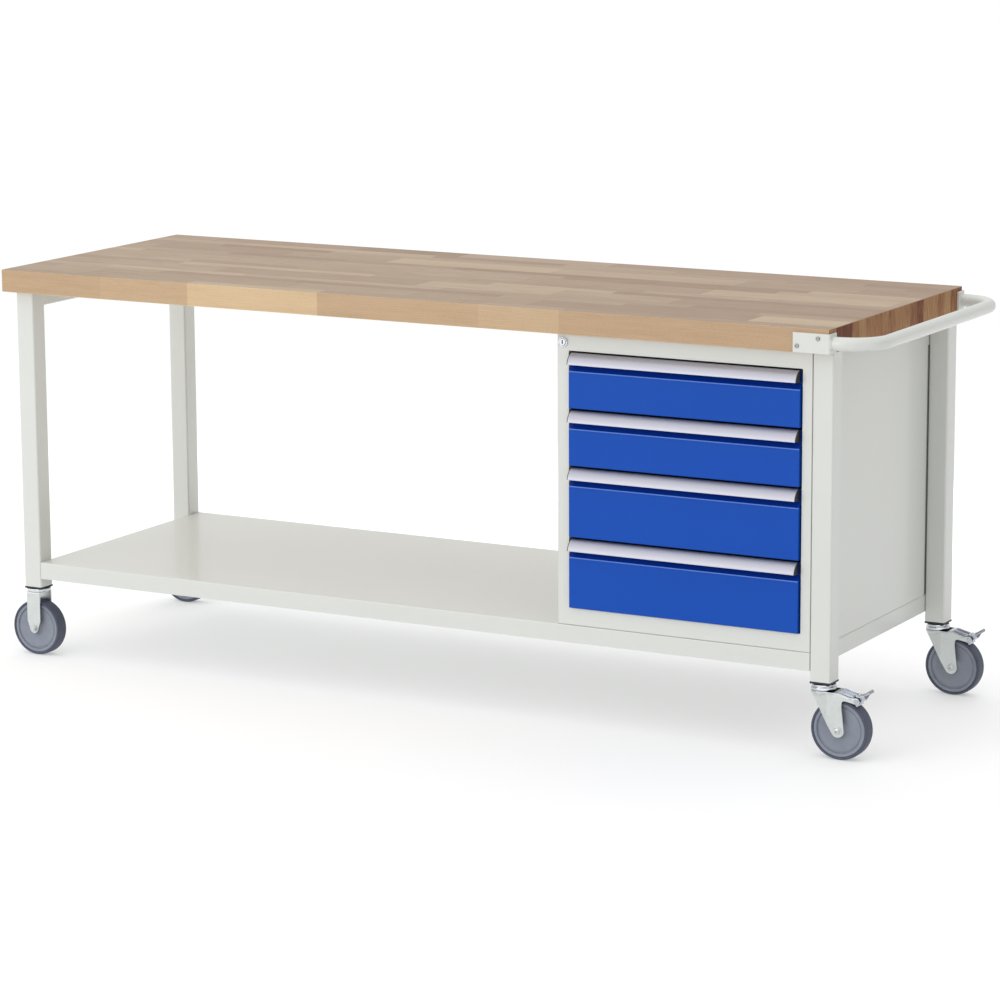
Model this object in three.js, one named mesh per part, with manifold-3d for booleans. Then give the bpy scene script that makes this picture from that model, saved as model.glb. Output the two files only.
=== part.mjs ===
// A mobile workbench: a beech worktop on a square-tube frame, a folded shelf, a cabinet with four
// drawers and a central lock, a push handle, and two fixed and two braked swivel castors.
// Millimetres, +Z up, +X towards the push handle, -Y towards the drawer fronts.
import * as THREE from "three";
import { mergeVertices } from "three/addons/utils/BufferGeometryUtils.js";
import Module from "manifold-3d";

const wasm = await Module();
wasm.setup();

// ---- Clearances
const seam = 0.3; // between pieces that touch
const runningGap = 0.4; // between a piece that turns or slides and the piece that guides it
const past = 1; // how far a cutting tool or a joined piece runs past a face

// ---- Worktop
const topLength = 2000;
const topDepth = 700;
const topThickness = 50;
const topEdgeRound = 2.5;
const benchHeight = 880;

// ---- Frame of square tube
const legWidth = 45;
const legWall = 2.5;
const legCorner = 4;
const frameInsetLeft = 20;
const frameInsetRight = 0;
const frameInsetDepth = 25;
const railHeight = 35;
const railWidth = 40;
const railWall = 2;
const railCorner = 3;

// ---- Leg plugs
const plugThickness = 4;
const plugSpigot = 18;

// ---- Shelf
const shelfRise = 59; // from the lower end of the legs to the top of the shelf
const shelfFlange = 38;
const shelfSheet = 2;

// ---- Drawer cabinet
const cabinetWidth = 572;
const cabinetSheet = 1.5;
const cabinetLegGap = 5; // between the cabinet's back and the rear legs
const frontSheet = 2;
const frontLipDepth = 16;
const frontLipSheet = 1.5;
const stileLeft = 27.5;
const stileRight = 22.5;
const frontRailHeight = 36.5; // above and below the drawers
const drawerShares = [5, 5, 4, 4]; // heights from the lowest drawer up

// ---- Drawers
const drawerSideGap = 2; // beside each drawer front
const drawerSeamGap = 3; // between one drawer front and the next
const trayInset = 13.5; // from the cabinet's window to the side of the tray
const traySheet = 1.5;
const trayDrop = 20; // from the top of the drawer's space to the rim of the tray
const trayLift = 12; // from the bottom of the drawer's space to the floor of the tray
const trayFrontBack = 17; // from the cabinet's face to the front wall of the tray
const trayRearGap = 42; // between the tray and the cabinet's back
const frontProud = 7; // how far a drawer front stands out of the cabinet
const frontPanelSheet = 1.5;
const gripBack = 10; // how far the front steps back behind the handle
const gripFold = 42; // from the top of the drawer's space down to the fold
const gripSlope = 12;
const handleReach = 23;
const handleTop = 3.5;
const handleLip = 26;
const handleWall = 2.4;
const handleEndGap = 2;

// ---- Drawer runners
const slideHeight = 24;
const slideThickness = 10;
const slideLift = 45; // from the bottom of the drawer's space
const slideBackset = 31; // from the cabinet's face to the front end of the slides
const runnerSheet = 2;
const runnerGap = 1;
const runnerBackset = 37;
const runnerSideGap = 2.75;

// ---- Central lock
const lockInset = 13.3; // from the cabinet's side to the lock's axis
const lockDrop = 19; // from the underside of the worktop to the lock's axis
const lockCollarRadius = 10.5;
const lockCollarThickness = 3;
const lockBarrelRadius = 9;
const lockPlugRadius = 7;
const lockBarrelLength = 12; // behind the cabinet's face
const lockPlugProud = 1;
const keywayWidth = 2;
const keywayHeight = 8;
const keywayDepth = 5;
const lockCamThickness = 2.5;
const lockCamRadius = 8.7;
const lockPinRadius = 2;
const lockingTravel = 9;
const lockingBarWidth = 14;
const lockingBarSheet = 3;
const lockingBarTop = 8; // above the lock's axis
const lockSlotLength = 7;
const tabHeight = 8;
const tabReach = 9.5; // past the cabinet's window edge
const tabGap = 1; // below the catch when unlocked
const catchHeight = 8;
const catchDrop = 14; // from the underside of the slide to the lower side of the catch
const catchDepth = 6;

// ---- Push handle
const handleTubeRadius = 14;
const handleTubeWall = 2;
const handleOut = 90; // from the worktop's end to the middle of the tube
const handleBend = 75;
const bracketSheet = 4;
const bracketLength = 76;
const bracketHeight = 40;
const bracketReturn = 33;
const bracketLift = 1; // above the underside of the worktop
const handleDrainRadius = 6;

// ---- Castors
const wheelRadius = 62.5;
const wheelWidth = 32;
const tyreThickness = 6.5;
const rimInset = 3; // from the side of the tyre to the side of the wheel centre's rim
const webInset = 2; // from the side of the rim to the web inside it
const rimBand = 6;
const treadRound = 8;
const castorHeadroom = 29; // from the top of the wheel to the underside of the leg plug
const forkInside = 40;
const forkSheet = 3.5;
const axleRadius = 5;
const axleHeadRadius = 8.5;
const axleHeadThickness = 5;
const hubRadius = 13;
const stemRadius = 6;
const stemLength = 34;
const fixedForkWidth = 35;
const fixedForkEnd = 11.5;
const bridgeThickness = 4;
const swivelTrail = 40;
const swivelForkEnd = 14;
const swivelNose = 23; // from the kingpin to the leading edge of the fork
const swivelRoof = 42; // from the kingpin to where the fork's top edge starts to fall
const swivelRoofEnd = 70;
const armKnee = 8; // past the level roof, where the arm's top edge turns flatter
const armKneeRise = 10; // above the pedal's pin
const armBendX = 16;
const armBendRise = 7;
const roofEndRise = 5;
const armThroatX = 14;
const armThroatDrop = 2; // from the pedal's pin down to the arm's underside
const cheekBackLean = 6; // how far the trailing edge leans in over the wheel
const cheekBackDrop = 15;
const headRadius = 26.5;
const headThickness = 13;
const crownThickness = 10;
const kingpinRadius = 8;
const rivetRadius = 12.5;
const rivetThickness = 4;
const pedalPivotX = 80;
const pedalPivotDrop = 26.5; // below the top of the castor
const pedalPinRadius = 3;
const pedalPinProud = 1.5;
const pedalEye = 6.5; // radius of the fork's end round the pin
const pedalBoss = 7;
const pedalTravel = 20; // degrees from released to pressed
const pedalWidth = 28;
const pedalReach = 31;
const pedalRise = 30; // degrees above level when released
const pedalSheet = 4;
const pedalLift = 2; // from the pin's axis to the underside of the lever
const shoeHalf = 3;
const shoeGap = 0.6; // between the pressed brake shoe and the tyre

// ---- Places that follow from the sizes above
const underside = benchHeight - topThickness;
const castorHeight = 2 * wheelRadius + castorHeadroom;
const legBottom = castorHeight + plugThickness;
const legLeftX = -topLength / 2 + frameInsetLeft + legWidth / 2;
const legRightX = topLength / 2 - frameInsetRight - legWidth / 2;
const legY = topDepth / 2 - frameInsetDepth - legWidth / 2;
const frameFront = -legY - legWidth / 2;
const shelfTop = legBottom + shelfRise;
const cabinetRight = legRightX - legWidth / 2 - seam;
const cabinetLeft = cabinetRight - cabinetWidth;
const cabinetBottom = shelfTop + seam;
const cabinetTop = underside - seam;
const cabinetBack = legY - legWidth / 2 - cabinetLegGap;
const windowLeft = cabinetLeft + stileLeft;
const windowRight = cabinetRight - stileRight;
const windowBottom = shelfTop + frontRailHeight;
const windowTop = underside - frontRailHeight;
const lockX = cabinetLeft + lockInset;
const lockZ = underside - lockDrop;
const trayLeft = windowLeft + trayInset;
const trayRight = windowRight - trayInset;
const trayFront = frameFront + trayFrontBack;
const trayBack = cabinetBack - trayRearGap;
const forkOutside = forkInside / 2 + forkSheet;
const axleReach = forkOutside + runningGap;
const degree = Math.PI / 180;

// ---- Finishes
const finish = (color, roughness, metalness) =>
  new THREE.MeshStandardMaterial({ color, roughness, metalness, flatShading: true });
const beech = finish(0xc39a72, 0.55, 0);
const greyPaint = finish(0xdfe1dc, 0.4, 0.1);
const bluePaint = finish(0x1f4fb4, 0.4, 0.1);
const aluminium = finish(0xc9cad6, 0.35, 0.9);
const zinc = finish(0xb8bec2, 0.4, 0.9);
const chrome = finish(0xd8dcdf, 0.15, 1);
const blackPlastic = finish(0x202124, 0.6, 0);
const hubPlastic = finish(0x969bab, 0.55, 0);
const tyreRubber = finish(0x4b5064, 0.7, 0);

// ---- Solids from three.js geometry
function signedVolume(positions, corners) {
  const [a, b, c] = [new THREE.Vector3(), new THREE.Vector3(), new THREE.Vector3()];
  let sum = 0;
  for (let i = 0; i < corners.length; i += 3) {
    a.fromArray(positions, corners[i] * 3);
    b.fromArray(positions, corners[i + 1] * 3);
    c.fromArray(positions, corners[i + 2] * 3);
    sum += a.dot(b.cross(c));
  }
  return sum / 6;
}

function toSolid(geometry) {
  const bare = geometry.clone();
  bare.deleteAttribute("normal");
  bare.deleteAttribute("uv");
  const merged = mergeVertices(bare, 1e-3);
  const positions = merged.attributes.position.array;
  const corners = [];
  for (let i = 0; i < merged.index.count; i += 3) {
    const [a, b, c] = merged.index.array.slice(i, i + 3);
    if (a !== b && b !== c && c !== a) corners.push(a, b, c);
  }
  if (signedVolume(positions, corners) < 0) corners.reverse();
  const triVerts = new Uint32Array(corners);
  return new wasm.Manifold(new wasm.Mesh({ numProp: 3, vertProperties: positions, triVerts }));
}

const join = (...solids) => solids.reduce((whole, piece) => whole.add(piece));
const cut = (whole, ...tools) => tools.reduce((left, tool) => left.subtract(tool), whole);

function box(x0, x1, y0, y1, z0, z1) {
  const geometry = new THREE.BoxGeometry(x1 - x0, y1 - y0, z1 - z0);
  geometry.translate((x0 + x1) / 2, (y0 + y1) / 2, (z0 + z1) / 2);
  return toSolid(geometry);
}

// A flat outline pushed along one axis: an outline across X holds (y, z), across Y (x, z), across Z (x, y).
function extrude(outline, axis, from, to, curveSegments = 6) {
  const geometry = new THREE.ExtrudeGeometry(outline, {
    depth: to - from,
    bevelEnabled: false,
    curveSegments,
  });
  if (axis === "x") {
    const turn = new THREE.Matrix4().makeBasis(
      new THREE.Vector3(0, 1, 0),
      new THREE.Vector3(0, 0, 1),
      new THREE.Vector3(1, 0, 0),
    );
    geometry.applyMatrix4(turn).translate(from, 0, 0);
  }
  if (axis === "y") geometry.rotateX(Math.PI / 2).translate(0, to, 0);
  if (axis === "z") geometry.translate(0, 0, from);
  return toSolid(geometry);
}

// A round bar along Y through (x, z), or along Z through (x, y).
function bar(axis, radius, from, to, first, second, sides = 24) {
  const geometry = new THREE.CylinderGeometry(radius, radius, to - from, sides);
  const middle = (from + to) / 2;
  if (axis === "y") geometry.translate(first, middle, second);
  if (axis === "z") geometry.rotateX(Math.PI / 2).translate(first, second, middle);
  return toSolid(geometry);
}

const polygon = (points) => new THREE.Shape(points.map(([u, v]) => new THREE.Vector2(u, v)));

function rectangle(width, height, corner = 0, target = new THREE.Shape()) {
  const [w, h, r] = [width / 2, height / 2, corner];
  target.moveTo(-w + r, -h).lineTo(w - r, -h);
  if (r > 0) target.absarc(w - r, -h + r, r, -Math.PI / 2, 0, false);
  target.lineTo(w, h - r);
  if (r > 0) target.absarc(w - r, h - r, r, 0, Math.PI / 2, false);
  target.lineTo(-w + r, h);
  if (r > 0) target.absarc(-w + r, h - r, r, Math.PI / 2, Math.PI, false);
  target.lineTo(-w, -h + r);
  if (r > 0) target.absarc(-w + r, -h + r, r, Math.PI, 1.5 * Math.PI, false);
  return target;
}

function tubeOutline(width, height, corner, wall) {
  const outline = rectangle(width, height, corner);
  const inner = Math.max(corner - wall, 0);
  outline.holes.push(rectangle(width - 2 * wall, height - 2 * wall, inner, new THREE.Path()));
  return outline;
}

// A shape turned about the Y axis, from (radius, y) points, or about Z with the points as (radius, z).
function turned(points, axis, sides = 32) {
  const geometry = new THREE.LatheGeometry(
    points.map(([r, h]) => new THREE.Vector2(r, h)),
    sides,
  );
  if (axis === "z") geometry.rotateX(Math.PI / 2);
  return toSolid(geometry);
}

function part(name, solid, material, place = [0, 0, 0]) {
  const { vertProperties, triVerts } = solid.getMesh();
  const geometry = new THREE.BufferGeometry();
  geometry.setAttribute("position", new THREE.BufferAttribute(vertProperties, 3));
  geometry.setIndex(new THREE.BufferAttribute(triVerts, 1));
  const mesh = new THREE.Mesh(geometry, material);
  mesh.name = name;
  mesh.position.set(...place);
  return mesh;
}

function groupAt(place, pieces) {
  const group = new THREE.Group();
  group.position.set(...place);
  group.add(...pieces);
  return group;
}

// ---- Worktop, legs, rails and shelf
function worktop() {
  const plan = rectangle(topLength - 2 * topEdgeRound, topDepth - 2 * topEdgeRound);
  const geometry = new THREE.ExtrudeGeometry(plan, {
    depth: topThickness - 2 * topEdgeRound,
    bevelSize: topEdgeRound,
    bevelThickness: topEdgeRound,
    bevelSegments: 2,
  });
  geometry.translate(0, 0, underside + topEdgeRound);
  return part("worktop", toSolid(geometry), beech);
}

function legs() {
  const section = tubeOutline(legWidth, legWidth, legCorner, legWall);
  const tube = extrude(section, "z", legBottom + seam, underside - seam, 1);
  const inner = legWidth - 2 * legWall - 2 * seam;
  const core = rectangle(inner, inner, legCorner);
  const spigot = extrude(core, "z", legBottom - seam, legBottom + plugSpigot, 1);
  const plate = rectangle(legWidth, legWidth, legCorner);
  const plug = cut(
    join(extrude(plate, "z", legBottom - plugThickness, legBottom, 1), spigot),
    bar("z", stemRadius + seam, 0, benchHeight, 0, 0, 16),
  );
  const corners = [
    ["front_left", legLeftX, -legY],
    ["front_right", legRightX, -legY],
    ["rear_left", legLeftX, legY],
    ["rear_right", legRightX, legY],
  ];
  return corners.flatMap(([corner, x, y]) => [
    part("leg_" + corner, tube, greyPaint, [x, y, 0]),
    part("leg_plug_" + corner, plug, blackPlastic, [x, y, 0]),
  ]);
}

function topRails() {
  const section = tubeOutline(railWidth, railHeight, railCorner, railWall);
  const inside = legY - legWidth / 2 - seam;
  const across = extrude(section, "y", -inside, inside, 1);
  const first = legLeftX + legWidth / 2 + seam;
  const last = legRightX - legWidth / 2 - seam;
  const along = extrude(section, "x", first, last, 1);
  const height = underside - seam - railHeight / 2;
  return [
    part("top_rail_left", across, greyPaint, [legLeftX, 0, height]),
    part("top_rail_rear", along, greyPaint, [0, legY, height]),
  ];
}

function shelf() {
  const x0 = legLeftX + legWidth / 2 + seam;
  const x1 = legRightX - legWidth / 2 - seam;
  const reach = -frameFront;
  const low = shelfTop - shelfFlange;
  const s = shelfSheet;
  const outside = box(x0, x1, -reach, reach, low, shelfTop);
  const inside = box(x0 + s, x1 - s, -reach + s, reach - s, low - s, shelfTop - s);
  return part("shelf", cut(outside, inside), greyPaint);
}

// ---- Push handle: a bent tube welded to two angle brackets on the worktop's corners
function handleTube() {
  const endX = topLength / 2 + seam + bracketSheet / 2;
  const outX = topLength / 2 + handleOut;
  const endY = topDepth / 2 + seam + bracketSheet - bracketReturn / 2;
  const z = underside + bracketLift + bracketHeight / 2;
  const at = (x, y) => new THREE.Vector3(x, y, z);
  const path = new THREE.CurvePath();
  const bendX = outX - handleBend;
  const bendY = endY - handleBend;
  const quarter = (from, corner, to) => {
    const pull = 0.5523; // makes a cubic follow a quarter circle
    return new THREE.CubicBezierCurve3(
      from,
      from.clone().lerp(corner, pull),
      to.clone().lerp(corner, pull),
      to,
    );
  };
  path.add(new THREE.LineCurve3(at(endX, -endY), at(bendX, -endY)));
  path.add(quarter(at(bendX, -endY), at(outX, -endY), at(outX, -bendY)));
  path.add(new THREE.LineCurve3(at(outX, -bendY), at(outX, bendY)));
  path.add(quarter(at(outX, bendY), at(outX, endY), at(bendX, endY)));
  path.add(new THREE.LineCurve3(at(bendX, endY), at(endX, endY)));
  const section = new THREE.Shape().absarc(0, 0, handleTubeRadius, 0, 2 * Math.PI, false);
  const bore = new THREE.Path().absarc(0, 0, handleTubeRadius - handleTubeWall, 0, 2 * Math.PI, false);
  section.holes.push(bore);
  const geometry = new THREE.ExtrudeGeometry(section, {
    steps: 36,
    extrudePath: path,
    curveSegments: 6,
  });
  return { solid: toSolid(geometry), endY, z };
}

function handleBracket(side, tube) {
  const face = topDepth / 2 + seam;
  const end = topLength / 2 + seam;
  const z0 = underside + bracketLift;
  const z1 = z0 + bracketHeight;
  const outer = end + bracketSheet;
  const rim = face + bracketSheet;
  const between = (a, b) => [Math.min(side * a, side * b), Math.max(side * a, side * b)];
  const flange = box(topLength / 2 - bracketLength, outer, ...between(face, rim), z0, z1);
  const wrap = box(end, outer, ...between(rim - bracketReturn, rim), z0, z1);
  const drain = toSolid(
    new THREE.CylinderGeometry(handleDrainRadius, handleDrainRadius, 2 * bracketSheet, 16)
      .rotateZ(Math.PI / 2)
      .translate(end + bracketSheet / 2, side * tube.endY, tube.z),
  );
  return cut(join(flange, wrap), drain);
}

function pushHandle() {
  const tube = handleTube();
  const whole = join(handleBracket(-1, tube), handleBracket(1, tube), tube.solid);
  return part("push_handle", whole, greyPaint);
}

// ---- Cabinet shell
function cabinetFront() {
  const width = cabinetRight - cabinetLeft;
  const height = cabinetTop - cabinetBottom;
  const face = rectangle(width, height);
  const midX = (cabinetLeft + cabinetRight) / 2;
  const midZ = (cabinetBottom + cabinetTop) / 2;
  const plate = extrude(face, "y", frameFront, frameFront + frontSheet).translate([midX, 0, midZ]);
  const lip = frontLipSheet;
  const lipBack = frameFront + frontLipDepth;
  const collar = box(
    windowLeft - lip, windowRight + lip, frameFront, lipBack, windowBottom - lip, windowTop + lip,
  );
  const inside = [frameFront - past, lipBack + past];
  const window = box(windowLeft, windowRight, ...inside, windowBottom, windowTop);
  const lockHole = bar("y", lockBarrelRadius + seam, ...inside, lockX, lockZ);
  return part("cabinet_front_frame", cut(join(plate, collar), window, lockHole), greyPaint);
}

function cabinetPanels() {
  const y0 = frameFront + frontSheet + seam;
  const y1 = cabinetBack - cabinetSheet - seam;
  const s = cabinetSheet;
  const side = (x) => box(x, x + s, y0, y1, cabinetBottom, cabinetTop);
  const back = box(cabinetLeft, cabinetRight, cabinetBack - s, cabinetBack, cabinetBottom, cabinetTop);
  return [
    part("cabinet_side_left", side(cabinetLeft), greyPaint),
    part("cabinet_side_right", side(cabinetRight - s), greyPaint),
    part("cabinet_back", back, greyPaint),
  ];
}

// ---- Drawers: each is built with z = 0 at the bottom of its space
function trayBody(space) {
  const s = traySheet;
  const rim = space - trayDrop;
  const outside = box(trayLeft, trayRight, trayFront, trayBack, trayLift, rim);
  const inside = box(
    trayLeft + s, trayRight - s, trayFront + s, trayBack - s, trayLift + s, rim + s,
  );
  const slideFront = frameFront + slideBackset;
  const slide = (x0, x1) => box(x0, x1, slideFront, trayBack, slideLift, slideLift + slideHeight);
  const catchLow = slideLift - catchDrop;
  const reach = slideThickness;
  const catchLug = box(
    trayLeft - reach, trayLeft + s, slideFront - catchDepth, slideFront, catchLow, catchLow + catchHeight,
  );
  return join(
    cut(outside, inside),
    slide(trayLeft - reach, trayLeft + s / 2),
    slide(trayRight - s / 2, trayRight + reach),
    catchLug,
  );
}

function frontPanel(space) {
  const s = frontPanelSheet;
  const face = frameFront - frontProud;
  const back = trayFront - seam;
  const step = face + gripBack;
  const low = drawerSeamGap / 2;
  const high = space - handleTop;
  const fold = space - gripFold;
  const slant = 0.75 * s; // keeps the sheet's thickness round the sloping fold
  const outline = polygon([
    [back, low],
    [face, low],
    [face, fold],
    [step, fold + gripSlope],
    [step, high],
    [back, high],
    [back, high - s],
    [step + s, high - s],
    [step + s, fold + gripSlope - slant],
    [face + s, fold - slant],
    [face + s, low + s],
    [back, low + s],
  ]);
  return extrude(outline, "x", windowLeft + drawerSideGap, windowRight - drawerSideGap);
}

// The handle is an open hook in section: a mounting web, a rounded roof and a downturned lip.
function handleSection(space) {
  const back = frameFront - frontProud + gripBack - seam;
  const front = back - handleReach;
  const roof = space - handleTop;
  const lip = space - handleLip;
  const w = handleWall;
  const outline = new THREE.Shape();
  outline.moveTo(back, lip - w);
  outline.lineTo(back, roof);
  outline.lineTo(back - 2 * w, roof);
  outline.quadraticCurveTo(front + 2 * w, roof - 2 * w, front, lip + w);
  outline.lineTo(front, lip);
  outline.lineTo(front + w, lip);
  outline.lineTo(front + w, lip + w);
  outline.quadraticCurveTo(front + 3 * w, roof - 3 * w, back - 2 * w, roof - w);
  outline.lineTo(back - w, roof - w);
  outline.lineTo(back - w, lip - w);
  return outline;
}

function runner(side, space) {
  const wall = cabinetSheet + seam;
  const low = slideLift - runnerGap - runnerSheet;
  const high = slideLift + slideHeight + runnerGap + runnerSheet;
  const outer = side < 0 ? cabinetLeft + wall : cabinetRight - wall;
  const inner = side < 0 ? trayLeft - runnerSideGap : trayRight + runnerSideGap;
  const s = -side * runnerSheet;
  const channel = polygon([
    [outer, low],
    [inner, low],
    [inner, low + runnerSheet],
    [outer + s, low + runnerSheet],
    [outer + s, high - runnerSheet],
    [inner, high - runnerSheet],
    [inner, high],
    [outer, high],
  ]);
  const first = frameFront + runnerBackset;
  return extrude(channel, "y", first, cabinetBack - cabinetSheet - seam).translate([0, 0, space]);
}

function drawerSpaces() {
  const unit = (windowTop - windowBottom) / drawerShares.reduce((a, b) => a + b);
  let base = windowBottom;
  return drawerShares.map((share) => {
    const space = { base, height: share * unit };
    base += space.height;
    return space;
  });
}

function drawers() {
  const x0 = windowLeft + drawerSideGap + handleEndGap;
  const x1 = windowRight - drawerSideGap - handleEndGap;
  return drawerSpaces().flatMap(({ base, height }, i, all) => {
    const name = "drawer_" + (all.length - i); // counted from the top down
    const moving = groupAt([0, 0, base], [
      part(name + "_tray", trayBody(height), greyPaint),
      part(name + "_front", frontPanel(height), bluePaint),
      part(name + "_handle", extrude(handleSection(height), "x", x0, x1, 6), aluminium),
    ]);
    return [
      moving,
      part(name + "_runner_left", runner(-1, base), zinc),
      part(name + "_runner_right", runner(1, base), zinc),
    ];
  });
}

// ---- Central lock: turning the plug lifts a bar whose tabs stand in front of the drawers' catches
function lockCylinder() {
  const front = frameFront - seam;
  const back = frameFront + lockBarrelLength;
  const collar = bar("y", lockCollarRadius, front - lockCollarThickness, front, lockX, lockZ);
  const barrel = bar("y", lockBarrelRadius, front - past, back, lockX, lockZ);
  const boreFront = front - lockCollarThickness - past;
  const bore = bar("y", lockPlugRadius + runningGap, boreFront, back + past, lockX, lockZ);
  const nose = front - lockCollarThickness - lockPlugProud;
  const camFront = back + runningGap;
  const camBack = camFront + lockCamThickness;
  const throwRadius = lockingTravel / 2 / Math.sin(45 * degree);
  const pinX = lockX + throwRadius * Math.cos(45 * degree);
  const pinZ = lockZ - throwRadius * Math.sin(45 * degree);
  const plug = join(
    bar("y", lockPlugRadius, nose, camFront + past, lockX, lockZ),
    bar("y", lockCamRadius, camFront, camBack, lockX, lockZ),
    bar("y", lockPinRadius, camBack - past, camBack + lockingBarSheet + past, pinX, pinZ),
  );
  const keyway = box(
    lockX - keywayWidth / 2, lockX + keywayWidth / 2, nose - past, nose + keywayDepth,
    lockZ - keywayHeight / 2, lockZ + keywayHeight / 2,
  );
  return [
    part("lock_barrel", cut(join(collar, barrel), bore), chrome),
    part("lock_plug", cut(plug, keyway), chrome),
  ];
}

function lockingBar() {
  const y0 = frameFront + frontLipDepth + tabGap;
  const y1 = y0 + lockingBarSheet;
  const x0 = lockX - lockingBarWidth / 2;
  const x1 = lockX + lockingBarWidth / 2;
  const pinDrop = lockingTravel / 2;
  const tabs = drawerSpaces().map(({ base }) => {
    const high = base + slideLift - catchDrop - tabGap;
    return box(x1 - past, windowLeft + tabReach, y0, y1, high - tabHeight, high);
  });
  const low = windowBottom + slideLift - catchDrop - tabGap - tabHeight;
  const strip = box(x0, x1, y0, y1, low, lockZ + lockingBarTop);
  const slotHalf = lockPinRadius + runningGap;
  const slotX = lockX + pinDrop - lockPinRadius - runningGap;
  const slot = box(slotX, slotX + lockSlotLength, y0 - past, y1 + past,
    lockZ - pinDrop - slotHalf, lockZ - pinDrop + slotHalf);
  return part("locking_bar", cut(join(strip, ...tabs), slot), zinc);
}

// ---- Castors: each is built round its own upright axis, standing on z = 0
function hexagon(radius) {
  const corners = [0, 1, 2, 3, 4, 5].map((i) => i * 60 * degree);
  return polygon(corners.map((a) => [radius * Math.cos(a), radius * Math.sin(a)]));
}

function axle(x) {
  const nut = extrude(hexagon(axleHeadRadius), "y", axleReach, axleReach + axleHeadThickness);
  const head = extrude(hexagon(axleHeadRadius), "y", -axleReach - axleHeadThickness, -axleReach);
  const shank = bar("y", axleRadius, -axleReach - past, axleReach + past, 0, 0, 16);
  return join(head, shank, nut).translate([x, 0, wheelRadius]);
}

function wheelHub(x) {
  const bore = axleRadius + runningGap;
  const sleeve = forkInside / 2 - 2 * runningGap;
  const rim = wheelRadius - tyreThickness - seam;
  const rimHalf = wheelWidth / 2 - rimInset;
  const webHalf = rimHalf - webInset;
  const webEdge = rim - rimBand;
  const upper = [
    [rim, rimHalf],
    [webEdge, rimHalf],
    [webEdge - webInset, webHalf],
    [hubRadius + rimInset, webHalf],
    [hubRadius, sleeve],
    [bore, sleeve],
  ];
  const lower = upper.map(([r, h]) => [r, -h]).reverse();
  return turned([...upper, ...lower, upper[0]], "y", 24).translate([x, 0, wheelRadius]);
}

// The tyre's half section starts on the rim, rolls out to the side and rounds over to the tread.
function tyre(x) {
  const half = wheelWidth / 2;
  const inner = wheelRadius - tyreThickness;
  const section = [
    [inner, half - rimInset],
    [inner + 1, half - 1],
    [inner + rimInset, half],
    [wheelRadius - 1, half - treadRound / 2],
    [wheelRadius, half - treadRound],
  ];
  const lower = section.map(([r, h]) => [r, -h]).reverse();
  return turned([...section, ...lower, section[0]], "y").translate([x, 0, wheelRadius]);
}

function fixedFork() {
  const top = castorHeight - seam;
  const half = fixedForkWidth / 2;
  const end = fixedForkEnd;
  const side = new THREE.Shape();
  side.moveTo(-half, top);
  side.lineTo(-half, wheelRadius + end);
  side.lineTo(-end, wheelRadius);
  side.absarc(0, wheelRadius, end, Math.PI, 2 * Math.PI, false);
  side.lineTo(half, wheelRadius + end);
  side.lineTo(half, top);
  const cheeks = [-forkOutside, forkInside / 2].map((y) => extrude(side, "y", y, y + forkSheet, 6));
  const bridge = box(-half, half, -forkOutside, forkOutside, top - bridgeThickness, top);
  const stem = bar("z", stemRadius, top - past, castorHeight + stemLength, 0, 0, 16);
  const axleHole = bar("y", axleRadius + seam, -forkInside, forkInside, 0, wheelRadius);
  return cut(join(...cheeks, bridge, stem), axleHole);
}

// The fixed half of a swivel castor: threaded stem, bearing cover and the kingpin with its rivet head.
function swivelHead() {
  const top = castorHeight - seam;
  const low = top - headThickness;
  const pinLow = low - crownThickness - 2 * runningGap;
  return turned(
    [
      [0, castorHeight + stemLength],
      [stemRadius, castorHeight + stemLength],
      [stemRadius, top],
      [headRadius - 3, top],
      [headRadius, top - 3],
      [headRadius, low + 2],
      [headRadius - 2, low],
      [kingpinRadius, low],
      [kingpinRadius, pinLow],
      [rivetRadius, pinLow],
      [rivetRadius - 2, pinLow - rivetThickness],
      [0, pinLow - rivetThickness],
    ],
    "z",
    20,
  );
}

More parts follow.
